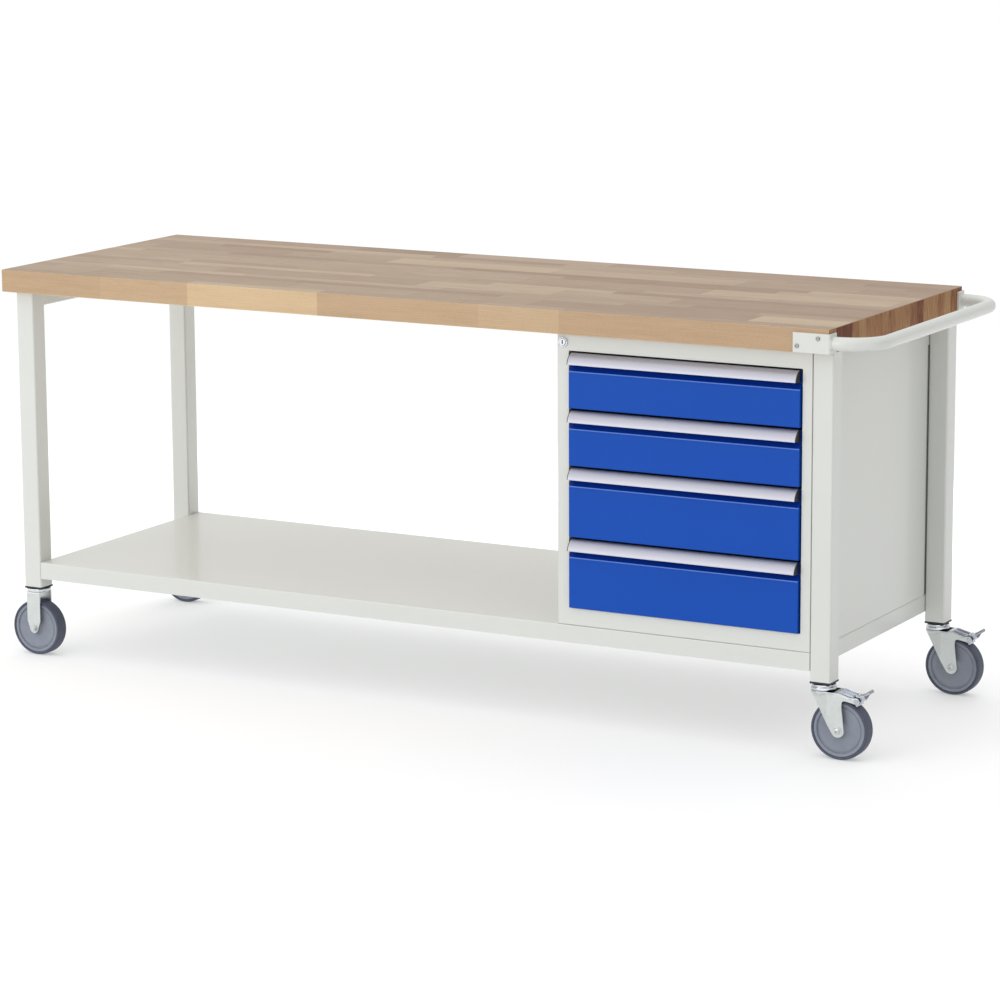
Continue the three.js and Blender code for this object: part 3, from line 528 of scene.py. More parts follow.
    # glue lines, a hair darker
    stripPart = calc(tree, "FRACT", across)
    stripEdge = calc(tree, "ABSOLUTE", calc(tree, "SUBTRACT", stripPart, 0.5))
    stavePart = calc(tree, "FRACT", calc(tree, "DIVIDE", along, look["staveLength"]))
    staveEdge = calc(tree, "ABSOLUTE", calc(tree, "SUBTRACT", stavePart, 0.5))
    stripLine = remap(tree, stripEdge, 0.488, 0.496, 0.0, 1.0)
    staveLine = remap(tree, staveEdge, 0.4975, 0.4992, 0.0, 1.0)
    seam = calc(tree, "MAXIMUM", stripLine, staveLine)
    colour = mixColours(tree, calc(tree, "MULTIPLY", seam, look["seamShow"]), colour, look["seamTone"],
                        "MULTIPLY")
    tree.links.new(colour, shader.inputs["Base Color"])
    rough = calc(tree, "ADD", remap(tree, fibre, 0.3, 0.7, *look["rough"]),
                 calc(tree, "MULTIPLY", endFace, 0.12))
    tree.links.new(rough, shader.inputs["Roughness"])
    height = calc(tree, "SUBTRACT", calc(tree, "MULTIPLY", fibre, 0.5), calc(tree, "MULTIPLY", seam, 0.7))
    tree.links.new(bumpFrom(tree, height, look["grainDepth"]), shader.inputs["Normal"])
    shader.inputs["Specular IOR Level"].default_value = look["gloss"]
    return material


topLow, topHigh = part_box("worktop")
stripCount = 14
beechLook = {
    "frontY": topLow.y, "stripWidth": (topHigh.y - topLow.y) / stripCount, "staveLength": 0.37, "seed": 4.0,
    "sway": 0.30, "swayRate": 2.1,
    "frontStaves": [(0.0, (0.42,) * 3), (0.13, (0.60,) * 3), (0.244, (0.97,) * 3), (0.409, (0.50,) * 3),
                    (0.602, (0.72,) * 3), (0.696, (0.34,) * 3)],
    "topZ": topHigh.z, "middleX": (topLow.x + topHigh.x) / 2, "halfLength": (topHigh.x - topLow.x) / 2,
    "boardTones": [(0.0, (0.324, 0.235, 0.165)), (0.25, (0.361, 0.270, 0.197)), (0.55, (0.390, 0.298, 0.218)),
                   (0.82, (0.418, 0.326, 0.240)), (1.0, (0.480, 0.382, 0.270))],
    "endTones": [(0.0, (0.135, 0.048, 0.026)), (0.3, (0.225, 0.094, 0.045)), (0.6, (0.298, 0.155, 0.073)),
                 (1.0, (0.375, 0.232, 0.114))], "endStreak": 0.42,
    "ringRate": 1900.0, "ringTone": (0.84, 0.78, 0.74), "ringShow": 0.38,
    "fibreTone": (0.80, 0.73, 0.68), "fibreShow": 0.50, "broadTone": (0.90, 0.85, 0.82), "broadShow": 0.6,
    "fleckTone": (0.62, 0.50, 0.42), "fleckShow": 0.5, "edgeTone": (1.70, 1.77, 1.64),
    "seamTone": (0.50, 0.38, 0.30), "seamShow": 0.55, "rough": (0.50, 0.62), "grainDepth": 0.00009,
    "gloss": 0.20,
}
oiledBeech = beechFinish("oiledBeechStaves", beechLook)
topMesh = softBox(topLow.x, topHigh.x, topLow.y, topHigh.y, topLow.z, topHigh.z, edge=0.0022, steps=3)
addPiece("worktopBoard", topMesh, oiledBeech, "bench", ["worktop"])
print("worktop done")


# ---- square tube legs, black end plugs and top rails

tubeLook = {"corner": 0.0042, "wall": 0.0025, "railCorner": 0.0034, "railWall": 0.002, "plugRound": 0.0008,
            "spigotGap": 0.0004}


def squareTube(node, axis, corner, wall):
    low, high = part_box(node)
    flat = {"x": (1, 2), "y": (0, 2), "z": (0, 1)}[axis]
    way = "xyz".index(axis)
    u0, v0, u1, v1 = low[flat[0]], low[flat[1]], high[flat[0]], high[flat[1]]
    outer = rectLoop(u0, u1, v0, v1, corner, 7)
    inner = rectLoop(u0 + wall, u1 - wall, v0 + wall, v1 - wall, max(corner - wall, 0.0006), 5)
    return pressedPlate([outer, inner], axis, low[way], high[way], edge=0.0003)


legCorners = ["front_left", "front_right", "rear_left", "rear_right"]
for corner in legCorners:
    side = corner.title().replace("_", "")
    legMesh = squareTube("leg_" + corner, "z", tubeLook["corner"], tubeLook["wall"])
    addPiece("leg" + side, legMesh, greyCoat, "bench", ["leg_" + corner])
    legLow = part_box("leg_" + corner)[0]
    plugLow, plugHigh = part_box("leg_plug_" + corner)
    rim = softBox(plugLow.x, plugHigh.x, plugLow.y, plugHigh.y, plugLow.z, legLow.z - 0.0002,
                  tubeLook["plugRound"])
    inset = tubeLook["wall"] + tubeLook["spigotGap"]
    spigot = softBox(plugLow.x + inset, plugHigh.x - inset, plugLow.y + inset, plugHigh.y - inset,
                     legLow.z - 0.001, plugHigh.z)
    addPiece("plug" + side, joinMeshes(rim, spigot), blackPlastic, "bench", ["leg_plug_" + corner])
for node, axis in (("top_rail_left", "y"), ("top_rail_rear", "x")):
    railMesh = squareTube(node, axis, tubeLook["railCorner"], tubeLook["railWall"])
    addPiece("rail" + node.split("_")[-1].title(), railMesh, greyCoat, "bench", [node])
print("legs and rails done")


# ---- folded shelf

shelfLook = {"sheet": 0.002, "fold": 0.0032, "endGap": 0.0005}
shelfLow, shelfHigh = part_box("shelf")
sheet, fold = shelfLook["sheet"], shelfLook["fold"]
shelfSection = roundedLoop([
    (shelfLow.y, shelfLow.z), (shelfLow.y, shelfHigh.z, fold), (shelfHigh.y, shelfHigh.z, fold),
    (shelfHigh.y, shelfLow.z),
    (shelfHigh.y - sheet, shelfLow.z), (shelfHigh.y - sheet, shelfHigh.z - sheet, fold - sheet),
    (shelfLow.y + sheet, shelfHigh.z - sheet, fold - sheet), (shelfLow.y + sheet, shelfLow.z),
], 5)
deck = pressedPlate([shelfSection], "x", shelfLow.x, shelfHigh.x, edge=0.0003)
ends = []
for x0 in (shelfLow.x, shelfHigh.x - sheet):
    ends.append(softBox(x0, x0 + sheet, shelfLow.y + sheet + shelfLook["endGap"],
                        shelfHigh.y - sheet - shelfLook["endGap"],
                        shelfLow.z, shelfHigh.z - sheet / 2, 0.0003))
addPiece("shelfDeck", joinMeshes(deck, *ends), greyCoat, "bench", ["shelf"])
print("shelf done")


# ---- cabinet shell: front frame with its window, side panels and back

cabinetLook = {"sheet": 0.002, "rim": 0.0008, "windowCorner": 0.0012, "lipSheet": 0.0015, "panelRim": 0.0004,
               "lockHole": 0.0093}
frontLow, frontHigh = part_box("cabinet_front_frame")
drawerLow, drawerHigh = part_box("drawer_4_front")
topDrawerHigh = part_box("drawer_1_front")[1]
sideGap, seamGap, topGap = 0.0032, 0.0015, 0.0035
window = {
    "left": drawerLow.x - sideGap, "right": drawerHigh.x + sideGap,
    "low": drawerLow.z - seamGap, "high": topDrawerHigh.z + topGap,
}
lockLow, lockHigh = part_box("lock_barrel")
lockX, lockZ = (lockLow.x + lockHigh.x) / 2, (lockLow.z + lockHigh.z) / 2
windowLoop = rectLoop(window["left"], window["right"], window["low"], window["high"],
                      cabinetLook["windowCorner"], 4)
faceLoops = [rectLoop(frontLow.x, frontHigh.x, frontLow.z, frontHigh.z, 0.0005, 2), windowLoop,
             circleLoop(lockX, lockZ, cabinetLook["lockHole"])]
faceMesh = pressedPlate(faceLoops, "y", frontLow.y, frontLow.y + cabinetLook["sheet"], cabinetLook["rim"], 2)
lip = cabinetLook["lipSheet"]
lipOuter = rectLoop(window["left"] - lip, window["right"] + lip, window["low"] - lip, window["high"] + lip,
                    0.002, 4)
lipMesh = pressedPlate([lipOuter, windowLoop], "y", frontLow.y + 0.001, frontHigh.y, 0.0003)
addPiece("cabinetFace", joinMeshes(faceMesh, lipMesh), greyCoat, "bench", ["cabinet_front_frame"])
for node in ("cabinet_side_left", "cabinet_side_right", "cabinet_back"):
    keepSolid(node, greyCoat, cabinetLook["panelRim"])
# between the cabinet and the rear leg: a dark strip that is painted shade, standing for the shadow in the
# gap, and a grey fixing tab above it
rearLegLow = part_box("leg_rear_right")[0]
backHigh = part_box("cabinet_back")[1]
stripLook = {"depth": 0.008, "clear": 0.0003, "behind": 0.012, "tabLow": 0.760}
stripX = rearLegLow.x - stripLook["clear"]
stripY = (backHigh.y + stripLook["clear"], rearLegLow.y + stripLook["behind"])
gapShadeStrip = softBox(stripX - stripLook["depth"], stripX, *stripY, frontLow.z + 0.001,
                      stripLook["tabLow"] - 0.001, 0.0003)
addPiece("cabinetGapShadeStrip", gapShadeStrip, gapShadeGrey, "bench")
fixingTab = softBox(stripX - stripLook["depth"], stripX, *stripY, stripLook["tabLow"], frontHigh.z - 0.001,
                    0.0003)
addPiece("cabinetFixingTab", fixingTab, greyCoat, "bench")
print("cabinet shell done")


# ---- drawers: folded blue front, anodised grip, grey tray on slide bars

drawerLook = {
    "sheet": 0.0015, "foldDrop": 0.042, "slope": 0.012, "stepBack": 0.010, "foldRound": 0.0045,
    "endSheet": 0.0012, "gripDrop": 0.0035, "gripLip": 0.026, "gripWall": 0.0024, "capThickness": 0.0016,
    "traySheet": 0.0015, "hem": 0.0022, "slideLift": 0.045, "slideHeight": 0.024,
    "slideThickness": 0.010, "trayLift": 0.012, "trayDrop": 0.020, "slideBackset": 0.014, "trayGap": 0.0003,
    "topGapShadeZone": 0.003, "recessZone": 0.0022, "foldZone": 0.0012, "faceZone": 0.0016,
}


def bezierRun(start, pull, end, steps=10):
    run = []
    for i in range(steps + 1):
        t = i / steps
        run.append((1 - t) ** 2 * Vector(start) + 2 * t * (1 - t) * Vector(pull) + t * t * Vector(end))
    return run


def buildDrawer(number):
    body = "drawer_%d" % number
    name = "drawer%d" % number
    look = drawerLook
    faceLow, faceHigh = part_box(body + "_front")
    trayLow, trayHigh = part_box(body + "_tray")
    base = faceLow.z - seamGap
    top = faceHigh.z + topGap
    face, back = faceLow.y, faceHigh.y
    s = look["sheet"]
    foldZ = top - look["foldDrop"]
    step = face + look["stepBack"]
    high = top - look["gripDrop"]
    slant = 0.75 * s
    bent = roundedLoop([
        (back, faceLow.z), (face, faceLow.z, 0.0018), (face, foldZ, look["foldRound"]),
        (step, foldZ + look["slope"], 0.0020),
        (step, high, 0.0018), (back, high), (back, high - s), (step + s, high - s, 0.0005),
        (step + s, foldZ + look["slope"] - slant, 0.0006), (face + s, foldZ - slant, 0.0006),
        (face + s, faceLow.z + s, 0.0005), (back, faceLow.z + s),
    ], 4)
    panel = pressedPlate([bent], "x", faceLow.x, faceHigh.x, 0.0004)
    cheekLoop = roundedLoop([
        (back, faceLow.z + s), (face + s, faceLow.z + s), (face + s, foldZ - slant),
        (step + s, foldZ + look["slope"] - slant), (step + s, high - s), (back, high - s),
    ], 4)
    e = look["endSheet"]
    cheeks = [pressedPlate([cheekLoop], "x", x0, x0 + e, 0.0002)
              for x0 in (faceLow.x + 0.0004, faceHigh.x - e - 0.0004)]
    front = addPiece(name + "Front", joinMeshes(panel, *cheeks), blueCoat, body, [body + "_front"])
    front.data.materials.append(bluePaintedFoldHighlight)
    front.data.materials.append(bluePaintedRecessShade)
    front.data.materials.append(blackPlastic)
    for polygon in front.data.polygons:
        middle = polygon.center
        # painted shade: the top edge of the panel, in the gap above the grip, is coloured black
        if middle.z > high - look["topGapShadeZone"]:
            polygon.material_index = 3
        # painted shade: the recess faces under the grip get the darker blue
        elif middle.z > foldZ + look["recessZone"] and middle.y > face + look["recessZone"]:
            polygon.material_index = 2
        # painted highlight: the faces on the fold get the lighter blue
        elif (middle.z > foldZ - look["foldZone"] and middle.y < face + look["faceZone"]
                and polygon.normal.y < -0.1):
            polygon.material_index = 1

    # the grip is an open hook: web on the front, rounded roof, lip turned down
    gripLow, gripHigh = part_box(body + "_handle")
    w = look["gripWall"]
    gripBack, gripFront = gripHigh.y, gripLow.y
    roof, lipZ = top - look["gripDrop"], top - look["gripLip"]
    outside = bezierRun((gripBack - 2 * w, roof), (gripFront + 2 * w, roof - 2 * w), (gripFront, lipZ + w))
    inside = bezierRun((gripFront + w, lipZ + w), (gripFront + 3 * w, roof - 3 * w),
                       (gripBack - 2 * w, roof - w))
    hook = [(gripBack, lipZ - w), (gripBack, roof), *outside, (gripFront, lipZ), (gripFront + w, lipZ),
            *inside, (gripBack - w, roof - w), (gripBack - w, lipZ - w)]
    cap = look["capThickness"]
    grip = pressedPlate([hook], "x", gripLow.x + cap, gripHigh.x - cap, 0.0003)
    addPiece(name + "Grip", grip, gripAluminium, body, [body + "_handle"], 40)
    capLoop = [(gripBack, lipZ - w), (gripBack, roof), *outside, (gripFront, lipZ)]
    caps = [pressedPlate([capLoop], "x", x0, x0 + cap, 0.0003) for x0 in (gripLow.x, gripHigh.x - cap)]
    addPiece(name + "GripCaps", joinMeshes(*caps), blackPlastic, body)

    # tray: floor and four walls, with a rolled hem along the rim
    t = look["traySheet"]
    left, right = trayLow.x + look["slideThickness"], trayHigh.x - look["slideThickness"]
    floor, rim = base + look["trayLift"], top - look["trayDrop"]
    front = faceHigh.y + look["trayGap"]
    floorPlate = softBox(left, right, front, trayHigh.y, floor, floor + t, 0.0003)
    walls = [
        softBox(left, left + t, front, trayHigh.y, floor, rim, 0.0003),
        softBox(right - t, right, front, trayHigh.y, floor, rim, 0.0003),
        softBox(left, right, front, front + t, floor, rim, 0.0003),
        softBox(left, right, trayHigh.y - t, trayHigh.y, floor, rim, 0.0003),
    ]
    hem = look["hem"]
    rimRun = [(left + hem, front + hem, rim - hem), (right - hem, front + hem, rim - hem),
              (right - hem, trayHigh.y - hem, rim - hem), (left + hem, trayHigh.y - hem, rim - hem)]
    hemRod = sweptRod(rimRun, hem, 12, True)
    addPiece(name + "Tray", joinMeshes(floorPlate, *walls, hemRod), greyCoat, body, [body + "_tray"])
    low = base + look["slideLift"]
    slides = []
    for x0, x1 in ((trayLow.x, left), (right, trayHigh.x)):
        channel = rectLoop(x0, x1, low, low + look["slideHeight"], 0.0022, 4)
        slides.append(pressedPlate([channel], "y", front + look["slideBackset"], trayHigh.y, 0.0006))
    catch = softBox(trayLow.x, left + t, front + 0.008, front + 0.0142, low - 0.014, low - 0.006, 0.0005)
    addPiece(name + "Slides", joinMeshes(*slides, catch), zincPlate, body)
    for side in ("left", "right"):
        keepSolid(body + "_runner_" + side, zincPlate, 0.0004)


for number in (1, 2, 3, 4):
    buildDrawer(number)
print("drawers done")


# ---- lock in the top left corner of the cabinet

lockLook = {"collar": 0.0105, "barrel": 0.009, "plug": 0.007, "slotWidth": 0.0022, "slotHeight": 0.0088,
            "cam": 0.0087}
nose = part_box("lock_plug")[0].y
collarFront = lockLow.y
collarProfile = [(0.0074, collarFront + 0.0008), (0.0079, collarFront + 0.0001), (0.0096, collarFront),
                 (0.0103, collarFront + 0.0005), (lockLook["collar"], collarFront + 0.0013),
                 (lockLook["collar"], collarFront + 0.003), (lockLook["barrel"], collarFront + 0.003),
                 (lockLook["barrel"], lockHigh.y), (0.0074, lockHigh.y)]
addPiece("lockCollar", turnedPiece(collarProfile, "y", (lockX, 0, lockZ)), chromePlate, "bench",
         ["lock_barrel"])
slotLoop = rectLoop(lockX - lockLook["slotWidth"] / 2, lockX + lockLook["slotWidth"] / 2,
                    lockZ - lockLook["slotHeight"] / 2, lockZ + lockLook["slotHeight"] / 2, 0.0006, 3)
plugFace = pressedPlate([circleLoop(lockX, lockZ, lockLook["plug"], 40), slotLoop], "y", nose, nose + 0.004,
                        0.0005, 2)
plugBack = pressedPlate([circleLoop(lockX, lockZ, lockLook["plug"] - 0.0002, 40)], "y", nose + 0.0038,
                        lockHigh.y + 0.001, 0.0004)
camFront = lockHigh.y + 0.0004
camDisc = pressedPlate([circleLoop(lockX, lockZ, lockLook["cam"], 40)], "y", camFront, camFront + 0.0025,
                       0.0004)
pinThrow = 0.0045
pinLoop = circleLoop(lockX + pinThrow, lockZ - pinThrow, 0.002, 20)
camPin = pressedPlate([pinLoop], "y", camFront + 0.002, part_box("lock_plug")[1].y, 0.0003)
core = joinMeshes(plugFace, plugBack, camDisc, camPin)
addPiece("lockCore", core, chromePlate, "lock_plug", ["lock_plug"])
# painted shade: a black block behind the keyway slot stands for the shade inside the lock
dark = softBox(lockX - 0.0009, lockX + 0.0009, nose + 0.0018, nose + 0.0045, lockZ - 0.0042, lockZ + 0.0042,
               0.0001)
addPiece("lockKeyway", dark, blackPlastic, "lock_plug")
keepSolid("locking_bar", zincPlate, 0.0003)
print("lock done")


# ---- push handle: bent tube welded to two angle brackets, four screws

handleLook = {"tube": 0.014, "bend": 0.075, "bracket": 0.004, "flange": 0.076, "fold": 0.0035,
              "weld": 0.0017, "screw": 0.0042,
              "wrap": 0.033, "screwRise": (0.0303, 0.0132), "screwFromEnd": (0.0218, 0.0671)}
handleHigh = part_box("push_handle")[1]
topEnd = topHigh.x
plateGap = 0.0003
plateLow, plateHigh = topLow.z + 0.001, topLow.z + 0.041
tubeZ = (plateLow + plateHigh) / 2
runX = handleHigh.x - handleLook["tube"]
tubeY = handleHigh.y - handleLook["wrap"] / 2
plateOut = topEnd + plateGap + handleLook["bracket"]
bend = handleLook["bend"]


def handlePath():
    run = [(plateOut - 0.001, -tubeY, tubeZ)]
    for i in range(19):
        a = -math.pi / 2 + math.pi / 2 * i / 18
        run.append((runX - bend + bend * math.cos(a), -tubeY + bend + bend * math.sin(a), tubeZ))
    for i in range(19):
        a = math.pi / 2 * i / 18
        run.append((runX - bend + bend * math.cos(a), tubeY - bend + bend * math.sin(a), tubeZ))
    run.append((plateOut - 0.001, tubeY, tubeZ))
    return run


def weldBead(side):
    # a slightly uneven fillet where the tube meets its plate
    ring = []
    for i in range(72):
        a = 2 * math.pi * i / 72
        out = handleLook["tube"] + 0.0004 + 0.00022 * math.sin(13 * a + side)
        ring.append((plateOut + 0.0003 + 0.00015 * math.sin(19 * a), side * tubeY + out * math.cos(a),
                     tubeZ + out * math.sin(a)))
    return sweptRod(ring, handleLook["weld"], 12, True)


def bracketPlate(side):
    b, fold = handleLook["bracket"], handleLook["fold"]
    outer, inner = side * handleHigh.y, side * (handleHigh.y - b)
    back = side * (handleHigh.y - handleLook["wrap"])
    angle = roundedLoop([
        (topEnd - handleLook["flange"], outer), (plateOut, outer, fold), (plateOut, back),
        (plateOut - b, back), (plateOut - b, inner), (topEnd - handleLook["flange"], inner),
    ], 5)
    return pressedPlate([angle], "z", plateLow, plateHigh, 0.0005, 2)


brackets = [bracketPlate(-1), bracketPlate(1)]
handleMesh = joinMeshes(sweptRod(handlePath(), handleLook["tube"], 40), *brackets, weldBead(-1), weldBead(1))
addPiece("pushHandle", handleMesh, greyCoat, "bench", ["push_handle"], 40)


def panHeadScrew(x, z, side, turn):
    # low domed head with a cross recess, drawn facing -Y and turned to its side
    r = handleLook["screw"]
    arm, thick = r * 0.58, r * 0.15
    cross = []
    for i in range(4):
        a = turn + i * math.pi / 2
        way, off = Vector((math.cos(a), math.sin(a))), Vector((-math.sin(a), math.cos(a)))
        cross += [way * thick - off * thick, way * arm - off * thick, way * arm + off * thick]
    rim = [Vector((r * math.cos(t), r * math.sin(t))) for t in (2 * math.pi * i / 32 for i in range(32))]
    face = handleHigh.y
    head = pressedPlate([rim, cross], "y", -face - 0.0021, -face - 0.0006, 0.0005, 3)
    washer = pressedPlate([[p * 1.16 for p in rim]], "y", -face - 0.0007, -face + 0.0002, 0.0002)
    floor = pressedPlate([[p * 0.8 for p in rim]], "y", -face - 0.0010, -face, 0.0001)
    whole = joinMeshes(head, washer, floor)
    whole.transform(Matrix.Translation((x, 0, z)))
    if side > 0:
        whole = moved(whole, Matrix.Diagonal((1, -1, 1, 1)))
    return whole


screws = []
for side in (-1, 1):
    for k in (0, 1):
        screws.append(panHeadScrew(topEnd - handleLook["screwFromEnd"][k],
                                   plateLow + handleLook["screwRise"][k], side, 0.4 + k + side))
addPiece("handleScrews", joinMeshes(*screws), screwSteel, "bench")
print("push handle done")


# ---- castors

wheelParts = {"rim": 0.0560, "rimHalf": 0.0130, "grooveOut": 0.0490, "grooveIn": 0.0468, "webHalf": 0.0112,
              "bossRadius": 0.0132,
              "bossHalf": 0.0192, "bore": 0.0054, "tyre": 0.0625, "tyreHalf": 0.016, "shoulder": 0.0062}


def wheelCentreMesh(centre):
    w = wheelParts
    half = [
        (w["rim"], w["rimHalf"] + 0.0006), (w["rim"] - 0.0010, w["rimHalf"] + 0.0013),
        (w["rim"] - 0.0022, w["rimHalf"] + 0.0010),
        (w["grooveOut"] + 0.0022, w["rimHalf"] + 0.0008), (w["grooveOut"] + 0.0010, w["rimHalf"] + 0.0004),
        (w["grooveOut"], w["webHalf"] - 0.0006), (w["grooveIn"], w["webHalf"] - 0.0006),
        (w["grooveIn"] - 0.0010, w["webHalf"] + 0.0004), (w["grooveIn"] - 0.0024, w["webHalf"] + 0.0007),
        (0.0360, w["webHalf"] + 0.0002), (0.0345, w["webHalf"] - 0.0003), (0.021, w["webHalf"] - 0.0003),
        (0.0175, w["webHalf"] + 0.0005),
        (0.0152, w["webHalf"] + 0.0024), (w["bossRadius"] + 0.0004, w["bossHalf"] - 0.002),
        (w["bossRadius"] - 0.0006, w["bossHalf"]), (w["bore"], w["bossHalf"]),
    ]
    return turnedPiece(half + [(r, -h) for r, h in reversed(half)], "y", centre, 96)


def tyreMesh(centre):
    w = wheelParts
    half = [(w["rim"] + 0.0001, w["rimHalf"] - 0.001), (w["rim"] + 0.0001, w["rimHalf"] + 0.0004),
            (w["rim"] + 0.0010, w["rimHalf"] + 0.0020), (w["rim"] + 0.0024, w["tyreHalf"] - 0.0002),
            (w["rim"] + 0.0036, w["tyreHalf"])]
    for i in range(7):
        a = math.pi / 2 * (i + 1) / 8
        half.append((w["tyre"] - 0.0028 + 0.0028 * math.sin(a) - 0.0001,
                     w["tyreHalf"] - w["shoulder"] + w["shoulder"] * math.cos(a)))
    half.append((w["tyre"], w["tyreHalf"] - w["shoulder"] - 0.001))
    return turnedPiece(half + [(r, -h) for r, h in reversed(half)], "y", centre, 128)


def hexHead(centre, y0, y1, radius, turn=0.0):
    loop = [(centre.x + radius * math.cos(turn + i * math.pi / 3),
             centre.z + radius * math.sin(turn + i * math.pi / 3)) for i in range(6)]
    return pressedPlate([loop], "y", min(y0, y1), max(y0, y1), 0.0004, 2)


def axleBolt(centre, outside, domed):
    # washer, hex nut and bolt end; or a low domed head with a socket
    pieces = []
    for side in (-1, 1):
        y = centre.y + side * outside
        washer = [(0.0053, y), (0.0092, y), (0.0092, y + side * 0.0011), (0.0053, y + side * 0.0011)]
        pieces.append(turnedPiece(washer, "y", (centre.x, 0, centre.z), 32))
        if domed and side < 0:
            dome = [(0.0, y - 0.0016), (0.0022, y - 0.0016), (0.0026, y - 0.0046), (0.0040, y - 0.0044),
                    (0.0060, y - 0.0034), (0.0068, y - 0.0020), (0.0070, y - 0.0009), (0.0, y - 0.0009)]
            pieces.append(turnedPiece(dome, "y", (centre.x, 0, centre.z), 32))
        else:
            pieces.append(hexHead(centre, y + side * 0.0010, y + side * 0.0050, 0.0076, 0.35))
            stub = [(0.0, y + side * 0.0030), (0.0046, y + side * 0.0030), (0.0046, y + side * 0.0066),
                    (0.0038, y + side * 0.0073), (0.0, y + side * 0.0073)]
            pieces.append(turnedPiece(stub, "y", (centre.x, 0, centre.z), 24))
    shank = [(0.0, centre.y - outside), (0.0049, centre.y - outside), (0.0049, centre.y + outside),
             (0.0, centre.y + outside)]
    pieces.append(turnedPiece(shank, "y", (centre.x, 0, centre.z), 24))
    return joinMeshes(*pieces)


def addWheel(corner, cad):
    low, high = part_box("axle_" + cad)
    centre = (low + high) / 2
    centre = Vector((centre.x, (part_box("tyre_" + cad)[0].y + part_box("tyre_" + cad)[1].y) / 2, centre.z))
    addPiece("wheelCentre" + corner, wheelCentreMesh(centre), wheelPlastic, "wheel_" + cad,
             ["wheel_hub_" + cad], 30)
    addPiece("tyre" + corner, tyreMesh(centre), tyreRubber, "wheel_" + cad, ["tyre_" + cad], 40)
    return centre


forkLook = {"inside": 0.020, "sheet": 0.0035, "strapHalf": 0.0175, "shoulder": 0.0090, "endRadius": 0.0112}


def fixedForkMesh(centre, top):
    # one strap bent into a U: bridge on top with rounded shoulders, two legs tapering to round eyes
    f = forkLook
    out = f["inside"] + f["sheet"]
    half = f["strapHalf"]
    x, z = centre.x, centre.z
    eye = [(x - half, top - f["shoulder"]), (x - half, z + 0.0175, 0.012)]
    arc = [(x + f["endRadius"] * math.cos(a), z + f["endRadius"] * math.sin(a))
           for a in (math.pi + 0.35 + (math.pi - 0.70) * i / 16 for i in range(17))]
    leg = roundedLoop(eye + arc + [(x + half, z + 0.0175, 0.012), (x + half, top - f["shoulder"])], 5)
    pieces = []
    for side in (-1, 1):
        y0, y1 = sorted((centre.y + side * f["inside"], centre.y + side * out))
        pieces.append(pressedPlate([leg], "y", y0, y1, 0.0008, 2))
    y = centre.y
    low = top - f["shoulder"]
    shell = roundedLoop([
        (y - out, low), (y - out, top, f["shoulder"]), (y + out, top, f["shoulder"]), (y + out, low),
        (y + f["inside"], low), (y + f["inside"], top - f["sheet"], f["shoulder"] - f["sheet"]),
        (y - f["inside"], top - f["sheet"], f["shoulder"] - f["sheet"]), (y - f["inside"], low),
    ], 7)
    pieces.append(pressedPlate([shell], "x", x - half, x + half, 0.0008, 2))
    return joinMeshes(*pieces)


def bentIn(mesh, centre, foldX, reach, depth):
    # the front of each cheek curls inwards ahead of the fold line
    for vertex in mesh.vertices:
        ahead = foldX - vertex.co.x
        if ahead > 0:
            pull = depth * ahead / reach
            vertex.co.y += pull if vertex.co.y < centre.y else -pull
    return mesh


def slicedAlongX(mesh, x0, x1, count):
    bm = bmesh.new()
    bm.from_mesh(mesh)
    for i in range(count + 1):
        place = (x0 + (x1 - x0) * i / count, 0, 0)
        bmesh.ops.bisect_plane(bm, geom=bm.verts[:] + bm.edges[:] + bm.faces[:], plane_co=place,
                               plane_no=(1, 0, 0))
    bm.to_mesh(mesh)
    bm.free()
    return mesh


swivelLook = {"foldX": 0.0160, "nose": 0.0230, "curl": 0.0125, "eye": 0.0140, "roofX": 0.0420,
              "roofEnd": 0.0700,
              "knee": 0.0080, "kneeRise": 0.0100, "bendX": 0.0160, "bendRise": 0.0070, "endRise": 0.0050,
              "armEye": 0.0065, "throatX": 0.0140, "throatDrop": 0.0020, "backLean": 0.0060,
              "backDrop": 0.0150, "disc": 0.0263,
              "crownDrop": 0.0134, "pinAhead": 0.080, "pinDrop": 0.0265, "bearingGap": 0.0004}


def arcRun(x, z, radius, first, last, steps):
    # points round (x, z) from one angle to the other, in degrees
    turns = [math.radians(first + (last - first) * i / steps) for i in range(steps + 1)]
    return [(x + radius * math.cos(a), z + radius * math.sin(a)) for a in turns]


